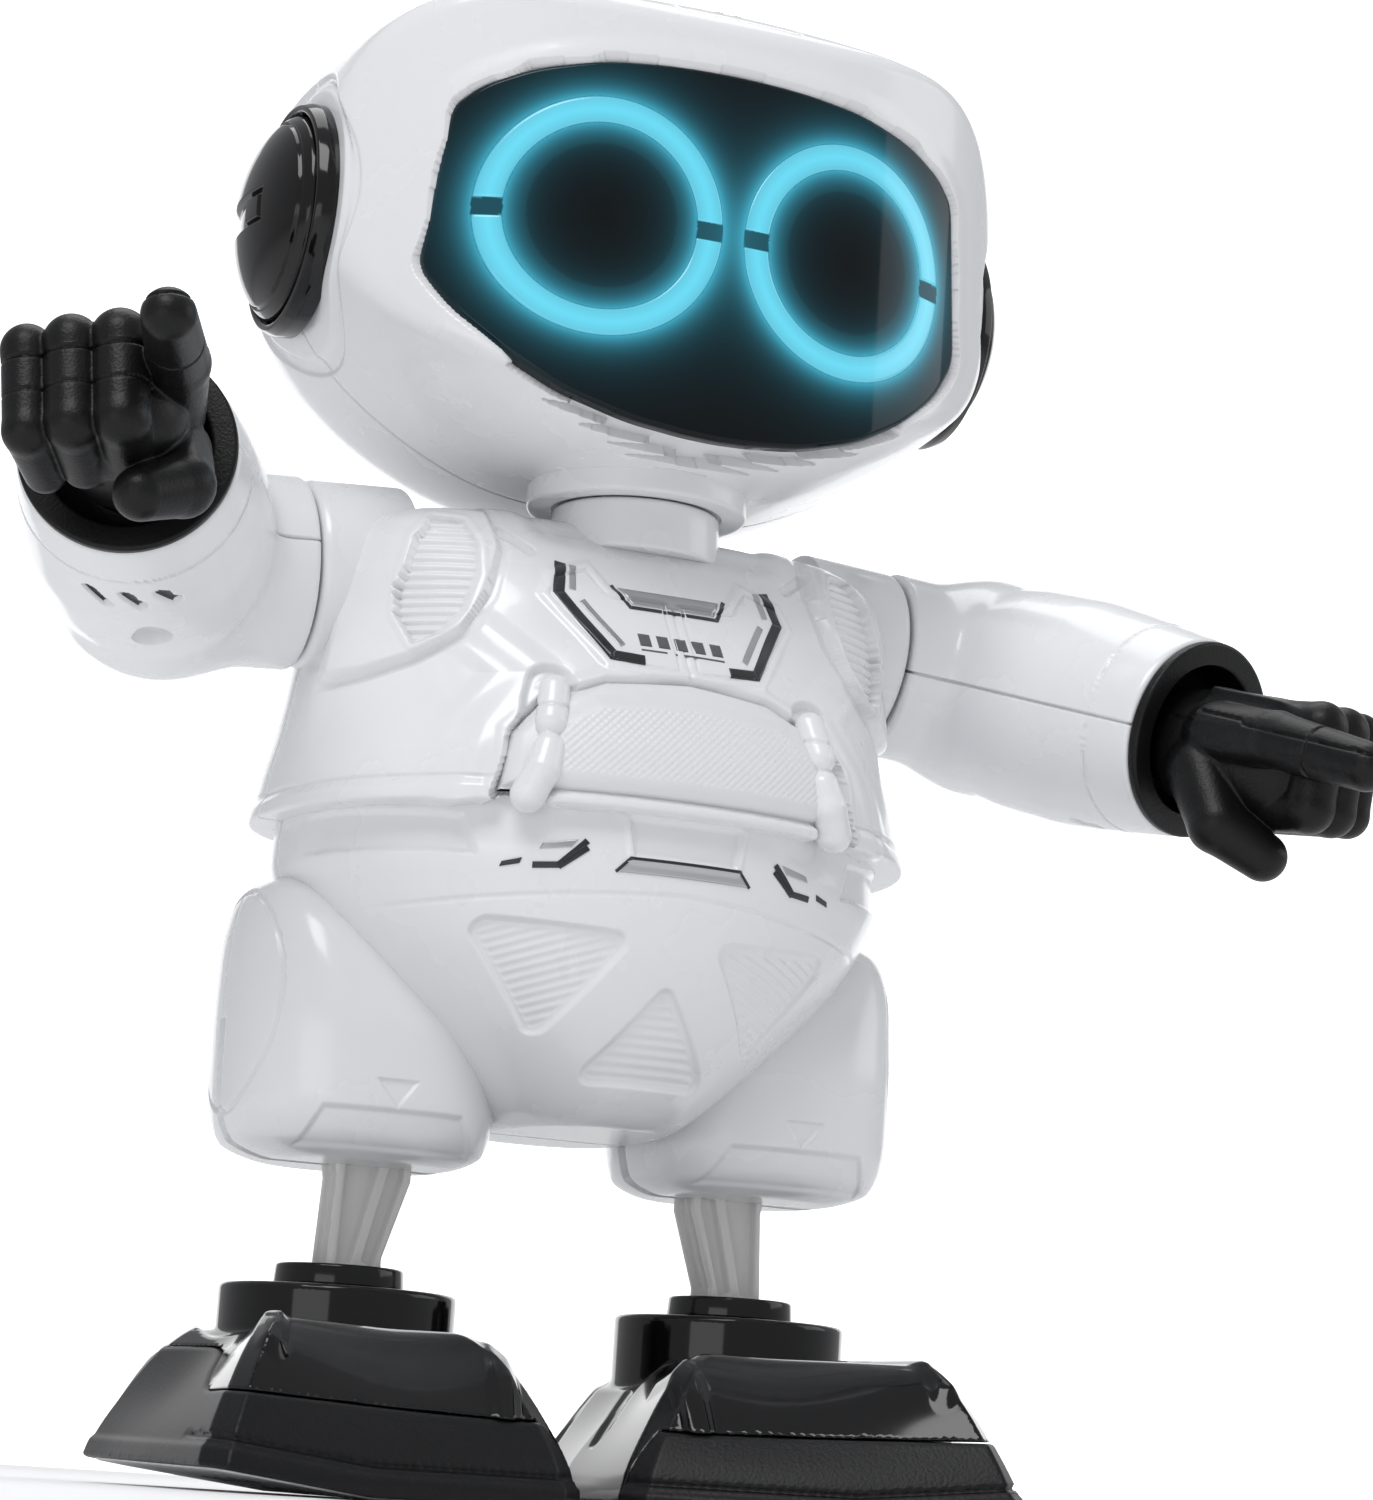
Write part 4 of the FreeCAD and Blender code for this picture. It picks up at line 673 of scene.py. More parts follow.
MAT = {
    "white": plastic("white_abs", (.83, .84, .855), .27, coat=.4, grain=.02, vary=.012),
    "button": plastic("white_button", (.80, .81, .82), .35, coat=.2, grain=.02, vary=.012),
    "pocket": plastic("pocket_grid", (.79, .80, .815), .40, coat=.05, grain=.10, grain_scale=2600, vary=.02),
    "offwhite": plastic("strut_offwhite", (.72, .715, .70), .42, coat=.05, grain=.06, vary=.03),
    "gloss": plastic("black_gloss", (.003, .003, .0034), .10, coat=.35, grain=.01, mottled=.04, vary=.1, spec=.25),
    "matte": plastic("black_grain", (.0055, .0056, .006), .36, grain=.55, grain_scale=2400, vary=.12, spec=.26),
    "bumper": plastic("black_bumper", (.0055, .0057, .0065), .40, grain=.6, grain_scale=2000, vary=.12, spec=.26),
    "silver": plastic("silver_foil", (.50, .51, .52), .30, metal=.85, grain=.05, grain_scale=900, vary=.05),
    "ink_and_painted_shade": plastic("black_foil_and_slot_painted_shade", (.015, .015, .018), .30, coat=.3, grain=.04, vary=.1),
    "greyink": plastic("grey_print", (.10, .105, .115), .4, vary=.05),
    "dark": plastic("gap_dark", (.05, .042, .036), .6, vary=.2, grain=.2),
    "sole": plastic("sole_plastic", (.72, .725, .73), .45, grain=.2, vary=.03),
    "steel": plastic("zinc_steel", (.55, .55, .56), .32, metal=1.0, grain=.1, vary=.05),
    "board": plastic("circuit_board", (.03, .16, .08), .4, grain=.3, vary=.2),
    "metal": plastic("motor_can", (.55, .56, .58), .35, metal=.9, grain=.1, vary=.05),
    "cell": plastic("cell_wrap", (.12, .25, .16), .3, coat=.4, vary=.1),
    "inner": plastic("inner_plastic", (.10, .105, .11), .5, grain=.2, vary=.1),
    "gear": plastic("gear_plastic", (.66, .62, .5), .4, grain=.1, vary=.05),
    # visor: black glass that carries a painted glow halo round the eyes through the glow attribute
    "visor": glow_material("visor_black_painted_eye_halo", (.08, .62, .86), 1.0, "glow", base=(.002, .0022, .0026), rough=.05, coat=.0, spec=.22),
    "ring": glow_material("eye_ring", (.13, .68, .88), 1.0, "glow", base=(.02, .10, .13), rough=.25),
}


def put(name, v, q, mat, body, replaces=(), attr=None):
    """Mesh in working millimetres -> object riding on a body."""
    v = np.asarray(v, float); q = np.asarray(q, int)
    tri = v[q[:, 0]], v[q[:, 1]], v[q[:, 2]], v[q[:, -1]]
    vol = (np.einsum("ij,ij->i", tri[0], np.cross(tri[1], tri[2])) + np.einsum("ij,ij->i", tri[0], np.cross(tri[2], tri[3]))).sum()
    if vol < 0:
        q = q[:, ::-1]
    w = ((v + SHIFT) / 1000.0).astype(np.float32)
    me = bpy.data.meshes.new(name)
    me.vertices.add(len(w)); me.vertices.foreach_set("co", w.ravel())
    me.loops.add(q.size); me.loops.foreach_set("vertex_index", q.ravel().astype(np.int32))
    me.polygons.add(len(q)); me.polygons.foreach_set("loop_start", np.arange(0, q.size, 4, dtype=np.int32))
    me.update(calc_edges=True)
    me.polygons.foreach_set("use_smooth", np.ones(len(q), bool))
    if attr is not None:
        a = me.attributes.new("glow", "FLOAT", "POINT"); a.data.foreach_set("value", np.asarray(attr, np.float32))
    me.validate(clean_customdata=False); me.update()
    me.materials.append(MAT[mat])
    o = bpy.data.objects.new(name, me); bpy.context.scene.collection.objects.link(o)
    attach(o, body)
    if replaces:
        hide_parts(*replaces)
    return o


N = 1.0
FINE = (.10, .2, .3, .42, .6)

# ------------------------------------------------------------------ head
v, q = star((0, SPLIT_Y, HEAD_Z), f_head, int(300 * N), 62, FINE)
put("head_shell", v, q, "white", "head", ("head_front_shell", "head_rear_shell"))


def visor_mesh():
    nt, nr = int(720 * N), int(190 * N)
    out = np.array(VISOR, float)
    c = np.array([0, 173.5])
    o = out - c
    ang = np.unwrap(np.arctan2(o[:, 1], o[:, 0]))
    if ang[-1] < ang[0]:
        o, ang = o[::-1], ang[::-1]
        ang = np.unwrap(np.arctan2(o[:, 1], o[:, 0]))
    # boundary by ray casting against the outline segments
    t = np.linspace(0, 2 * np.pi, nt, endpoint=False)
    D = np.stack([np.cos(t), np.sin(t)], 1); R = np.zeros(nt)
    for i in range(len(o)):
        a, b = o[i], o[(i + 1) % len(o)]
        e = b - a
        den = D[:, 0] * e[1] - D[:, 1] * e[0]
        den = np.where(np.abs(den) < 1e-12, 1e-12, den)
        s = (a[0] * e[1] - a[1] * e[0]) / den
        k = (a[0] * D[:, 1] - a[1] * D[:, 0]) / den
        ok = (s > 0) & (k >= -1e-6) & (k <= 1 + 1e-6)
        R = np.where(ok, np.maximum(R, s), R)
    rad = 1 - np.linspace(1, 0, nr) ** 1.25
    V_, G = [], []
    for k in rad:
        x, z = c[0] + R * k * D[:, 0], c[1] + R * k * D[:, 1]
        edge = R * (1 - k)
        y = face_y(x) + .8 * (1 - np.sqrt(np.clip(1 - (1 - np.clip(edge / .8, 0, 1)) ** 2, 0, 1)))
        V_.append(np.stack([x, y, z], 1))
        # painted light: emission on the visor glass round each eye ring, strongest at the ring and falling off with
        # distance, a painted glow halo of the eye lamps
        g = np.zeros(nt)
        for ex in (-EYE_X, EYE_X):
            r = np.hypot(x - ex, z - EYE_Z)
            d = np.maximum(np.maximum(r - EYE_RO, EYE_RI - r), 0)
            gap = np.abs(z - EYE_Z)
            ins = (r > EYE_RI) & (r < EYE_RO)
            g = g + np.where(ins, np.where(gap < 1.25, .12, .45), .52 * np.exp(-d / 1.25) + .085 * np.exp(-d / 4.2)) * (1 - .25 * (r < EYE_RI - 3))
        G.append(g)
    for dy, k in ((.7, 1.0), (1.7, 1.0)):
        x, z = c[0] + R * k * D[:, 0], c[1] + R * k * D[:, 1]
        V_.append(np.stack([x, face_y(x) + .8 + dy, z], 1)); G.append(np.zeros(nt))
    m = len(V_)
    V_ = np.concatenate(V_); G = np.concatenate(G)
    q = np.array([[i * nt + k, i * nt + (k + 1) % nt, (i + 1) * nt + (k + 1) % nt, (i + 1) * nt + k] for i in range(m - 1) for k in range(nt)])
    return V_, q[:, ::-1], G


v, q, g = visor_mesh()
put("visor_glass", v, q, "visor", "head", ("visor",), attr=g)

for sx, side in ((1, "left"), (-1, "right")):
    # light guide arcs of one eye
    V_, Q, G = [], [], []
    for a0 in (0, np.pi):
        nt, prof = int(200 * N), []
        for k in np.linspace(0, 1, 15):
            prof.append(EYE_RI + (EYE_RO - EYE_RI) * k)
        rows = []
        for j, r in enumerate(prof):
            g0 = np.arcsin(1.2 / r)
            t = np.linspace(a0 + g0, a0 + np.pi - g0, nt)
            e = min(r - EYE_RI, EYE_RO - r)
            ends = np.minimum(t - t[0], t[-1] - t) * r
            h = .28 * np.sqrt(np.clip(1 - (1 - np.clip(np.minimum(e, ends) / .5, 0, 1)) ** 2, 0, 1))
            x, z = sx * EYE_X + r * np.cos(t), EYE_Z + r * np.sin(t)
            rows.append(np.stack([x, face_y(x) + .12 - h, z], 1))
            c = 1 - abs(2 * (r - EYE_RI) / (EYE_RO - EYE_RI) - 1)
            G.append(np.full(nt, .62 + .30 * c ** .6))
        rows = np.concatenate(rows)
        sh, qq = sheet_solid(rows, grid_quads(15, nt), np.array([0, .5, 0]))
        base = sum(len(b) for b in V_)
        V_.append(sh); Q.append(qq + base)
        G.append(np.concatenate([np.zeros(len(rows))]))
    put(side + "_eye_ring", np.concatenate(V_), np.concatenate(Q), "ring", "head", (side + "_eye_light_guide",), attr=np.concatenate(G))
    # ear bezel and cap, turned on the ear axis then pointed sideways
    prof = bevel_profile([(15.0, -1.0), (16.9, -1.0), (16.9, 1.5), (16.3, 3.1), (15.5, 3.1), (15.0, 2.0)], .45)
    v, q = lathe(prof, int(240 * N))
    w = np.stack([sx * (50.25 + v[:, 2]), 4.0 + v[:, 0], 179.4 + v[:, 1]], 1)
    put(side + "_ear_ring", w, q, "gloss", "head", (side + "_ear_bezel",))
    n = int(220 * N)
    rr = np.linspace(0, 1, n); tt = np.linspace(0, 2 * np.pi, int(520 * N), endpoint=False)
    Rr, Tt = np.meshgrid(rr * 15.1, tt, indexing="ij")
    y, z = Rr * np.cos(Tt), Rr * np.sin(Tt)
    h = 2.6 + 9.2 * np.sqrt(np.clip(1 - (Rr / 15.9) ** 2, 0, 1)) - 9.2 * np.sqrt(1 - (15.1 / 15.9) ** 2)
    bar = np.maximum(np.abs(z + .4) - 2.35, -(y + 6.2)) - .0
    bar = np.maximum(bar, y - 16)
    h = h - .95 * sst(.3, -.3, bar)
    key = np.maximum(np.abs(z + .4) - 1.75, np.maximum(-(y + 5.2), y + .6))
    h = h + .75 * sst(.3, -.3, key)
    h = h - .35 * sst(.35, .1, np.abs(Rr - 13.4))
    h = h - 2.4 * sst(14.65, 15.1, Rr)
    V_ = np.stack([sx * (50.25 + h), 4.0 + y, 179.4 + z], -1).reshape(-1, 3)
    nt = len(tt)
    q = np.array([[i * nt + k, i * nt + (k + 1) % nt, (i + 1) * nt + (k + 1) % nt, (i + 1) * nt + k] for i in range(n - 1) for k in range(nt)])
    put(side + "_ear_dome", V_, q, "gloss", "head", (side + "_ear_cap",))

# crown button, neck
v, q = lathe(bevel_profile([(0, 214.3), (6.9, 213.9), (6.95, 210.0), (0, 210.0)], .8), int(200 * N))
put("crown_button", v + np.array([0, -14, 0]), q, "button", "head_button", ("head_button",))
v, q = lathe(bevel_profile([(9.0, 144.9), (9.0, 148.0), (15.9, 148.0), (15.9, 141.3), (12.4, 141.25), (12.2, 141.8), (9.0, 141.8)], .7), int(240 * N))
put("neck_ring", v + np.array([0, -7, 0]), q, "white", "head", ("neck_collar",))
v, q = lathe(bevel_profile([(0, 148.2), (8.3, 148.2), (8.3, 142.0), (12.1, 141.2), (12.3, 134.0), (0, 134.0)], .6), int(240 * N))
put("neck_tube", v + np.array([0, -7, 0]), q, "white", "torso", ("neck_post",))

# ------------------------------------------------------------------ torso
v, q = star((0, 9.02, 112), f_vest, int(330 * N), 62, FINE)
put("vest_shell", v, q, "white", "torso", ("vest_front", "vest_rear"))
v, q = star((0, 9.02, 78), f_belly, int(280 * N), 62, FINE)
put("belly_shell", v, q, "white", "torso", ("belly_front_shell", "belly_rear_shell", "battery_door"))


def surf(f, x, z, y0=-60.0, y1=5.0):
    """Front surface of f at x, z."""
    o = np.stack([x, np.full_like(x, y1), z], 1)
    return solve(f, o, np.tile([0, -1.0, 0], (len(x), 1)), 0.0, y1 - y0)


def pocket_mesh():
    """Front skin of the pocket as a grid with a fine woven relief."""
    nx, nz = int(420 * N), int(160 * N)
    xs, zs = np.linspace(-27, 27, nx), np.linspace(94.6, 113.2, nz)
    X, Z = np.meshgrid(xs, zs, indexing="ij")
    # squeeze the grid onto the outline so its edge is clean
    lim = np.interp(zs, [94.6, 95.2, 103.0, 108.2, 111.6, 112.8, 113.2], [26, 26, 24.6, 20.0, 12.0, 3.0, .5]) - .25
    X = np.linspace(-1, 1, nx)[:, None] * lim[None, :]
    x, z = X.ravel(), np.clip(Z.ravel(), 95.0, 112.6)
    base = surf(lambda p: section(p, VEST) - 1.35, x, z)
    inner = sdpoly(x, z, [(-20.5, 97.5), (-18.5, 104.4), (-13.5, 107.4), (0, 108.6), (13.5, 107.4), (18.5, 104.4), (20.5, 97.5)])
    edge = -sdpoly(x, z, POCKET) - .28
    y = base[:, 1] + .9 * sst(-.4, 2.2, inner) + 1.5 * (1 - np.sqrt(np.clip(1 - (1 - np.clip(edge / 1.3, 0, 1)) ** 2, 0, 1)))
    w = .09 * np.cos(x * 2 * np.pi / 1.12) * np.cos(z * 2 * np.pi / 1.12)
    y = y + w * sst(.2, -.8, inner)
    top = np.stack([x, y, z], 1)
    return sheet_solid(top, grid_quads(nx, nz), np.array([0, 4.0, 0]))


v, q = pocket_mesh()
put("pocket_front", v, q, "pocket", "torso", ("pocket_panel",))
V_, Q = [], []
for sx in (1, -1):
    f = lambda p, sx=sx: (lambda P: np.minimum(smin(capsule(P, (19.2, -29.4, 109.4), (20.1, -31.4, 104.6), 2.15, 2.2), capsule(P, (20.1, -31.0, 104.4), (20.5, -32.0, 101.0), 1.35, 1.35), .3),
                                   smin(capsule(P, (20.5, -32.2, 100.8), (21.4, -32.8, 97.6), 2.2, 2.4), capsule(P, (21.4, -32.8, 97.6), (22.8, -31.6, 94.2), 2.4, 2.5), .4)) + .25 * sst(.3, .1, np.abs(P[:, 2] - 106.9)))(p * np.array([sx, 1, 1]))
    v, q = vox(f, (min(sx * 16, sx * 26), -36.5, 90.5), (max(sx * 16, sx * 26), -26, 112.5), .3 / min(1, N * 1.2))
    Q.append(q + sum(len(b) for b in V_)); V_.append(v)
put("toggles", np.concatenate(V_), np.concatenate(Q), "white", "torso", ("strap_toggles",))

# thigh covers
v0, q0 = star((33.0, 10.6, 62), f_thigh, int(210 * N), 40, (.15, .35, .6, .9, 1.2, 1.6, 2.2, 3.0), rmin=.5)
for sx, side in ((1, "left"), (-1, "right")):
    put(side + "_thigh_cover", v0 * np.array([sx, 1, 1]), q0, "white", "torso", (side + "_thigh_front", side + "_thigh_rear"))
    x = f_strut
    if sx > 0:
        vs, qs = vox(f_strut, (20.5, LEG_Y - 4.6, 25.4), (35.5, LEG_Y + 4.6, 62.5), .28 / min(1, N * 1.3))
    put(side + "_shin", vs * np.array([sx, 1, 1]), qs, "offwhite", side + "_leg", (side + "_leg_strut",))
    v, q = lathe(bevel_profile([(0, DISC_TOP), (DISC_R - .2, DISC_TOP), (DISC_R, DISC_TOP - 2.9), (8.55, DISC_TOP - 3.0), (8.55, 16.0), (0, 16.0)], .5), int(200 * N))
    put(side + "_ankle_disc", v + np.array([sx * LEG_X, LEG_Y, 0]), q, "gloss", side + "_ankle", (side + "_ankle_block",))

# ------------------------------------------------------------------ shoes (modelled about the turret axis, then turned by the toe angle)
def zone(p):
    """Negative inside the matte bumper's zone: the outer side and the toe."""
    x, y, z = p[:, 0], p[:, 1], p[:, 2]
    xm = 14.0 - 42.0 * sst(-27, -40, y)
    return smax(z - bumper_line(x, y), xm - x, 1.6)


def shoe_top(p):
    x, y, z = p[:, 0], p[:, 1], p[:, 2]
    f = foot_base(p)
    # sculpted ridges from the turret to the toe and down the inner side
    r1 = sdseg(x, y, [(-12.5, -12), (-16.5, -24), (-15.5, -40)])
    r2 = sdseg(x, y, [(11.0, -13), (14.5, -25), (17.5, -44)])
    f = f - .75 * sst(2.6, .8, r1) * (z > 6) - .75 * sst(2.6, .8, r2) * (z > 6)
    f = f + .5 * sst(2.2, .4, sdseg(x, y, [(-24, 8), (-15.5, 5), (-15.0, -8), (-22, -14)])) * (z > 9)
    rt = np.hypot(x, y)
    # collar ring round the turret's foot
    f = f + .9 * sst(19.6, 18.0, rt) * sst(17, 19, z)
    tur = smax(rt - TURRET_R, z - 28.4, .9)
    tur = smax(tur, 15 - z, .3)
    f = smin(f, tur, .8)
    f = smax(f, camber(x) + .6 - z, .3)
    return smax(f, -(zone(p) - .16), .35)


def shoe_bumper(p):
    x, y, z = p[:, 0], p[:, 1], p[:, 2]
    f = foot_base(p) - .30
    lip = sst(3.6, 2.6, z - camber(x))
    f = f - .35 * lip + .45 * sst(.5, .15, np.abs(z - camber(x) - 4.3)) * sst(-36, -42, y)
    f = smax(f, camber(x) + .25 - z, .5)
    return smax(f, zone(p), .5)


def shoe_sole(p):
    x, y, z = p[:, 0], p[:, 1], p[:, 2]
    f = foot_base(p) + 1.0
    f = smax(f, z - camber(x) - 1.6, .3)
    f = smax(f, camber(x) + .03 - z, .25)
    return f


def sole_under(p):
    f = shoe_sole(p)
    x, y, z = p[:, 0], p[:, 1], p[:, 2]
    lab = sdpoly(x, y, [(-18, -34), (20, -46), (24, 6), (-18, 10)])
    f = f + .35 * sst(.3, .05, np.abs(lab)) * (z < camber(x) + .8)
    return f


H = .42 / min(1, N * 1.3)
LO, HI = (-29, -58.5, -.6), (34, 25.5, 29.2)
T_, B_, S_ = vox(shoe_top, LO, HI, H), vox(shoe_bumper, LO, (34, 25.5, 22), H), vox(sole_under, LO, (34, 25.5, 6), H)
for sx, side in ((1, "left"), (-1, "right")):
    for nm, (v, q), mat, node in (("shoe_upper", T_, "gloss", "shoe_top"), ("shoe_guard", B_, "bumper", "shoe_bumper"), ("sole", S_, "sole", "sole_plate")):
        w = rotz(v * np.array([sx, 1, 1]), -TOE) + np.array([sx * LEG_X, LEG_Y, 0])
        put(f"{side}_{nm}", w, q, mat, side + "_foot", (f"{side}_{node}",))
    # rows of plain print dashes on the sole, standing for a label
    V_, Q = [], []
    for r in range(7):
        y = -30 + 4.6 * r
        for k in range(5):
            x0 = -13 + 6.4 * k + 1.1 * ((r * 3 + k) % 3)
            g = patch([(x0, y), (x0 + 3.6 + (r + k) % 2, y), (x0 + 3.6 + (r + k) % 2, y + 1.3), (x0, y + 1.3)], 6, 3)
            top = np.stack([g[:, 0], g[:, 1], camber(g[:, 0]) + .0], 1)
            a, b = sheet_solid(top, grid_quads(6, 3), np.array([0, 0, .12]))
            Q.append(b + sum(len(t) for t in V_)); V_.append(a)
    v = rotz(np.concatenate(V_) * np.array([sx, 1, 1]), -TOE) + np.array([sx * LEG_X, LEG_Y, 0])
    put(side + "_sole_print", v, np.concatenate(Q), "greyink", side + "_foot")

# ------------------------------------------------------------------ arms and hands
va, qa = star((ELBOW_AT, 0, 0), f_arm, int(230 * N), 62, (.12, .3, .5, .75), rmin=1.0)
vh, qh = vox(hand_sdf, (-9, -16.5, -20), (43.5, 15.5, 13.5), .30 / min(1, N * 1.3))
hand_pts = E3 + FORE_L * HD + vh[:, :1] * HD + vh[:, 1:2] * MD + vh[:, 2:3] * ND
rv, rq = lathe(bevel_profile([(11.0, -4.8), (11.0, 1.7), (14.45, 1.7), (14.45, .05), (12.6, 0.0), (12.6, -4.8)], .55), int(240 * N))
ring_pts = E3 + FORE_L * HD + rv[:, 2:3] * HD + rv[:, :1] * MD + rv[:, 1:2] * ND
dv, dq = lathe([(0, -4.4), (11.6, -4.4), (11.6, -6.0), (0, -6.0)], 96)
disc_pts = E3 + FORE_L * HD + dv[:, 2:3] * HD + dv[:, :1] * MD + dv[:, 1:2] * ND
hv, hq = lathe(bevel_profile([(0, -6.0), (13.5, -6.0), (13.55, 7.6), (12.9, 8.55), (6.2, 8.55), (6.0, 8.9), (0, 8.9)], .5), int(200 * N))
hub_pts = np.stack([hv[:, 2], hv[:, 0], hv[:, 1]], 1)
V_, Q = [], []
for sx, side in ((1, "left"), (-1, "right")):
    put(side + "_arm", place_arm(va, sx), qa, "white", side + "_arm", (side + "_arm_upper_shell", side + "_arm_lower_shell"))
    put(side + "_cuff", place_arm(ring_pts, sx), rq, "matte", side + "_arm", (side + "_cuff_ring",))
    put(side + "_cuff_floor", place_arm(disc_pts, sx), dq, "matte", side + "_arm")
    put(side + "_fist", place_arm(hand_pts, sx), qh, "matte", side + "_hand", (side + "_hand",))
    Q.append(hq + sum(len(b) for b in V_)); V_.append(place_arm(hub_pts, sx))
    # the dark sheets in the three slanted slots, laid further down, are painted shade of the slots
put("shoulder_bosses", np.concatenate(V_), np.concatenate(Q), "white", "torso", ("shoulder_hubs",))

# ------------------------------------------------------------------ foil stickers and prints, laid on the shells
def strip(name, f, quads, mat, body, lift=.10, thick=.10, mirror=True, nu=24, nv=8, y1=5.0):
    V_, Q = [], []
    for c4 in quads:
        for sx in ((1, -1) if mirror else (1,)):
            g = patch([(sx * x, z) for x, z in c4], nu, nv)
            s = surf(f, g[:, 0], g[:, 1], -60, y1)
            s[:, 1] -= lift
            v, q = sheet_solid(s, grid_quads(nu, nv), np.array([0, thick + .25, 0]))
            Q.append(q + sum(len(b) for b in V_)); V_.append(v)
    return put(name, np.concatenate(V_), np.concatenate(Q), mat, body)


def thick_line(pts, w):
    """Quads of a polyline of width w with mitred joints."""
    p = [np.array(q, float) for q in pts]; L, R = [], []
    for i, b in enumerate(p):
        d0 = (b - p[i - 1]) if i else (p[1] - b)
        d1 = (p[i + 1] - b) if i < len(p) - 1 else d0
        d0, d1 = d0 / np.linalg.norm(d0), d1 / np.linalg.norm(d1)
        n = np.array([-(d0 + d1)[1], (d0 + d1)[0]]); n = n / np.linalg.norm(n)
        m = w / 2 / max(.35, n @ np.array([-d0[1], d0[0]]))
        L.append(b + n * m); R.append(b - n * m)
    return [(L[i], L[i + 1], R[i + 1], R[i]) for i in range(len(p) - 1)]


bar = [(14.6, 131.0), (16.6, 125.6), (9.2, 114.9), (5.4, 114.6)]
strip("chest_bars", f_vest, thick_line([(15.6, 130.0), (16.7, 125.0), (10.8, 115.6), (6.4, 115.3)], 1.5), "ink_and_painted_shade", "torso")
strip("chest_foils", f_vest, thick_line([(14.0, 129.6), (14.7, 125.6)], .9) + thick_line([(13.6, 124.0), (9.2, 117.3)], .9), "silver", "torso", lift=.12)
strip("chest_badge_edge", f_vest, thick_line([(-8.6, 127.3), (-6.6, 123.9), (6.6, 123.9), (8.6, 127.3)], .55), "ink_and_painted_shade", "torso", mirror=False)
strip("chest_badge", f_vest, [((-7.7, 127.0), (7.7, 127.0), (6.2, 124.4), (-6.2, 124.4))], "silver", "torso", mirror=False)
# plain generic marks where the object carries lettering
strip("chest_print", f_vest, [((x, 119.6), (x + 1.7, 119.6), (x + 1.7, 117.6), (x, 117.6)) for x in (-6.6, -3.9, -1.2, 1.5, 4.2)] + [((-6.6, 117.1), (5.9, 117.1), (5.9, 116.8), (-6.6, 116.8))], "greyink", "torso", mirror=False, lift=.03, nu=8, nv=6)
strip("belt_chevrons", f_belly, thick_line([(9.9, 90.6), (13.9, 88.0), (17.4, 85.2), (22.6, 85.0)][1:3], .9) + thick_line([(14.0, 88.9), (17.4, 85.4), (20.6, 85.2)], .85), "ink_and_painted_shade", "torso", lift=.14)
strip("belt_foils", f_belly, [((15.2, 89.0), (19.6, 88.2), (20.0, 87.4), (16.0, 87.9))], "silver", "torso", lift=.14)
strip("belt_dashes", f_belly, [((22.0, 86.1), (24.3, 85.5), (24.5, 84.8), (22.2, 85.3))], "ink_and_painted_shade", "torso", lift=.14)
strip("belt_centre", f_belly, [((-8.1, 87.0), (8.1, 87.0), (9.9, 85.1), (-9.9, 85.1))], "silver", "torso", mirror=False, lift=.14, nu=40)
strip("belt_centre_edge", f_belly, thick_line([(-9.9, 85.1), (-8.1, 87.05), (8.1, 87.05), (9.9, 85.1)], .42), "ink_and_painted_shade", "torso", mirror=False, lift=.16, nu=40)


def crown(name, quads, mat, lift=.12):
    """Print on the crown, laid from above: points are x, y."""
    V_, Q = [], []
    for c4 in quads:
        g = patch(c4, 10, 5)
        o = np.stack([g[:, 0], g[:, 1], np.full(len(g), 190.0)], 1)
        s = solve(f_head, o, np.tile([0, 0, 1.0], (len(g), 1)), 0.0, 30.0)
        s[:, 2] += lift
        v, q = sheet_solid(s, grid_quads(10, 5), np.array([0, 0, -.3]))
        Q.append(q + sum(len(b) for b in V_)); V_.append(v)
    put(name, np.concatenate(V_), np.concatenate(Q), mat, "head")


def arc(cx, cy, r, a0, a1, n=14):
    t = np.radians(np.linspace(a0, a1, n))
    return [(cx + r * np.cos(k), cy + r * np.sin(k)) for k in t]


mark = []
for x, h in ((-4.2, 1.6), (-1.4, 2.6), (1.4, 2.6), (4.2, 1.6)):
    mark += [((x - .45, -27.4 - h), (x + .45, -27.4 - h), (x + .45, -27.4 + h), (x - .45, -27.4 + h))]
crown("crown_mark", mark, "greyink")

# dark sheets on the floors of the three slanted slots of each forearm: painted shade of the slots
V_, Q = [], []
for k in (-1, 0, 1):
    c4 = thick_line([(27.2, -.2 + 4.6 * k), (30.6, -2.2 + 4.6 * k)], 1.35)[0]
    g = patch(c4, 12, 6)
    s = solve(f_arm, E3 + g[:, :1] * HD + g[:, 1:2] * MD, np.tile([0, 0, -1.0], (len(g), 1)), 2.0, 26.0)
    s[:, 2] -= .10
    v, q = sheet_solid(s, grid_quads(12, 6), np.array([0, 0, .4]))
    Q.append(q + sum(len(b) for b in V_)); V_.append(v)
for sx, side in ((1, "left"), (-1, "right")):
    # painted shade: dark ink sheets on the slot floors stand for the shade inside the slots
    put(side + "_forearm_slot_painted_shade", place_arm(np.concatenate(V_), sx), np.concatenate(Q), "ink_and_painted_shade", side + "_arm")

# ------------------------------------------------------------------ hidden CAD pieces keep their own meshes
CAD_MAT = {"head_screws": "steel", "eye_lamp_board": "board", "hip_pins": "steel", "battery_door_screw": "steel", "power_switch": "matte", "shoulder_pins": "steel",
           "main_board": "board", "speaker": "metal", "battery_cells": "cell", "battery_holder": "inner", "drive_motor": "metal", "crank_gear": "gear",
           "motor_pinion": "gear", "gearbox_frame": "inner", "body_screws": "steel", "left_leg_strut": "offwhite", "right_leg_strut": "offwhite",
           "left_ankle_pin": "steel", "right_ankle_pin": "steel"}
for n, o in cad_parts.items():
    o.data.materials.clear()
    o.data.materials.append(MAT[CAD_MAT.get(n, "white")])

# ------------------------------------------------------------------ studio
def plane(name, corners, mat):
    me = bpy.data.meshes.new(name); me.from_pydata([tuple(c) for c in corners], [], [(0, 1, 2, 3)])
    me.materials.append(mat)
    o = bpy.data.objects.new(name, me); bpy.context.scene.collection.objects.link(o)
    return o


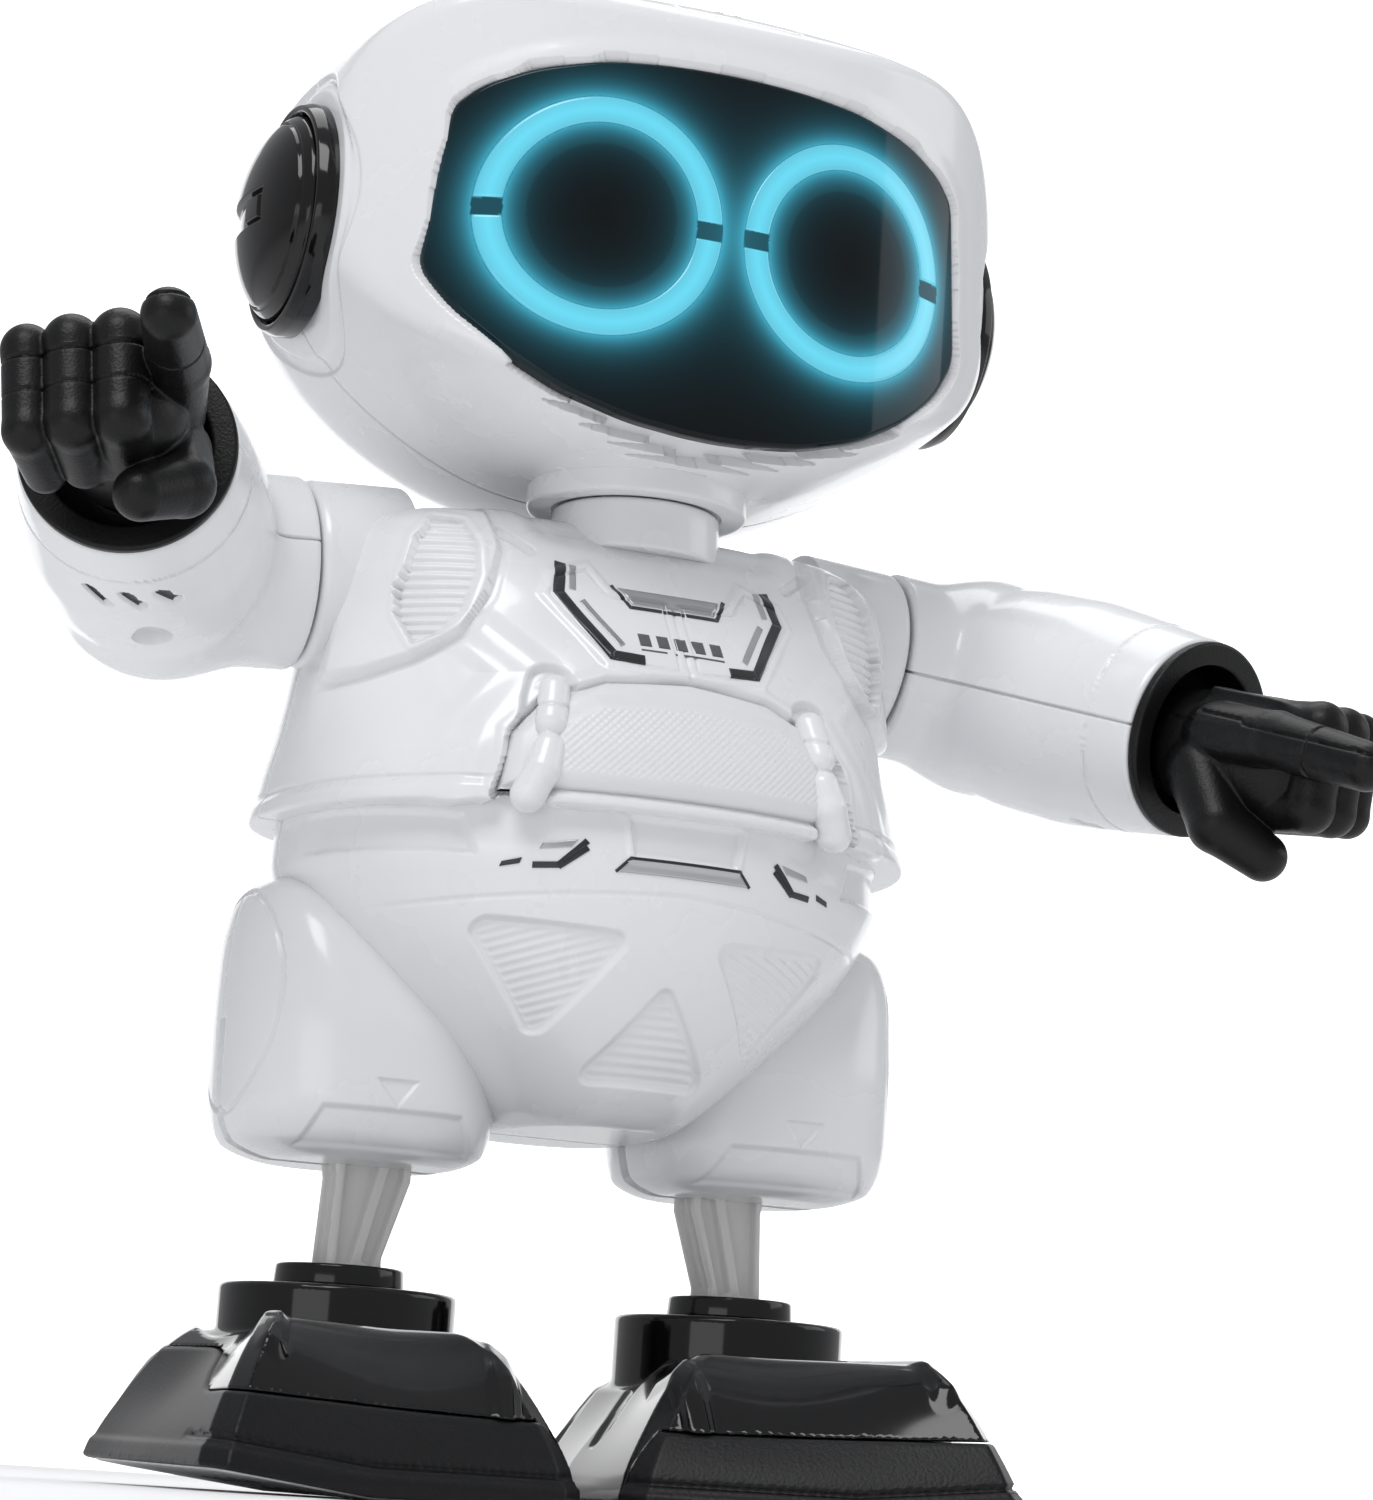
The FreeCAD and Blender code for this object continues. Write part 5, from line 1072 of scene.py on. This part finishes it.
floor_mat = plastic("floor_pale", (.90, .90, .91), .6, vary=.01, grain=.02)
back_mat = bpy.data.materials.new("backdrop"); back_mat.use_nodes = True
_b = back_mat.node_tree.nodes["Principled BSDF"]; _b.inputs["Base Color"].default_value = (.9, .9, .9, 1)
_b.inputs["Emission Color"].default_value = (1, 1, 1, 1); _b.inputs["Emission Strength"].default_value = .97
plane("backdrop", [(-.35, 2.2, -.001), (2.0, 1.5, -.001), (2.0, 1.7, 1.4), (-.35, 2.4, 1.4)], back_mat)
plane("floor", [(-6, -4, -.0002), (6, -4, -.0002), (6, 6, -.0002), (-6, 6, -.0002)], floor_mat)


def area(name, loc, target, size, power, size_y=None, color=(1, 1, 1)):
    L = bpy.data.lights.new(name, "AREA"); L.energy = power; L.color = color; L.shape = "RECTANGLE"; L.size = size; L.size_y = size_y or size
    o = bpy.data.objects.new(name, L); bpy.context.scene.collection.objects.link(o)
    o.location = loc
    d = Vector(target) - Vector(loc)
    o.rotation_euler = d.to_track_quat("-Z", "Y").to_euler()
    return o


area("key", (-.55, -.62, 1.12), (0, 0, .12), .7, 7.2, .6)
area("fill", (1.25, -.30, .62), (0, 0, .15), .8, 1.9, .7)
area("top", (.1, .30, 1.2), (0, 0, .1), .8, 4.0, .8)
area("low", (-.9, -.9, .10), (0, 0, .06), .8, 1.0, .3)
w = bpy.data.worlds.new("studio"); bpy.context.scene.world = w; w.use_nodes = True
w.node_tree.nodes["Background"].inputs["Color"].default_value = (.96, .97, 1.0, 1)
w.node_tree.nodes["Background"].inputs["Strength"].default_value = .45

bpy.context.scene.view_settings.view_transform = "Standard"
cam = bpy.data.cameras.new("camera"); cam.lens = 96; cam.sensor_width = 36; cam.sensor_fit = "AUTO"; cam.clip_start = .02
co = bpy.data.objects.new("camera", cam); bpy.context.scene.collection.objects.link(co)
psi, th, ro = np.radians(22.88), np.radians(10.65), np.radians(3.62)
fwd = np.array([np.sin(psi) * np.cos(th), np.cos(psi) * np.cos(th), np.sin(th)])
r_ = np.array([np.cos(psi), -np.sin(psi), 0.]); u_ = np.cross(r_, fwd)
R1, U1 = np.cos(ro) * r_ + np.sin(ro) * u_, -np.sin(ro) * r_ + np.cos(ro) * u_
Mx = Matrix([[R1[i], U1[i], -fwd[i], 0] for i in range(3)] + [[0, 0, 0, 1]])
Mx.translation = Vector(((np.array([-209.6, -528.0, 2.0]) + SHIFT) / 1000).tolist())
co.matrix_world = Mx
bpy.context.scene.camera = co

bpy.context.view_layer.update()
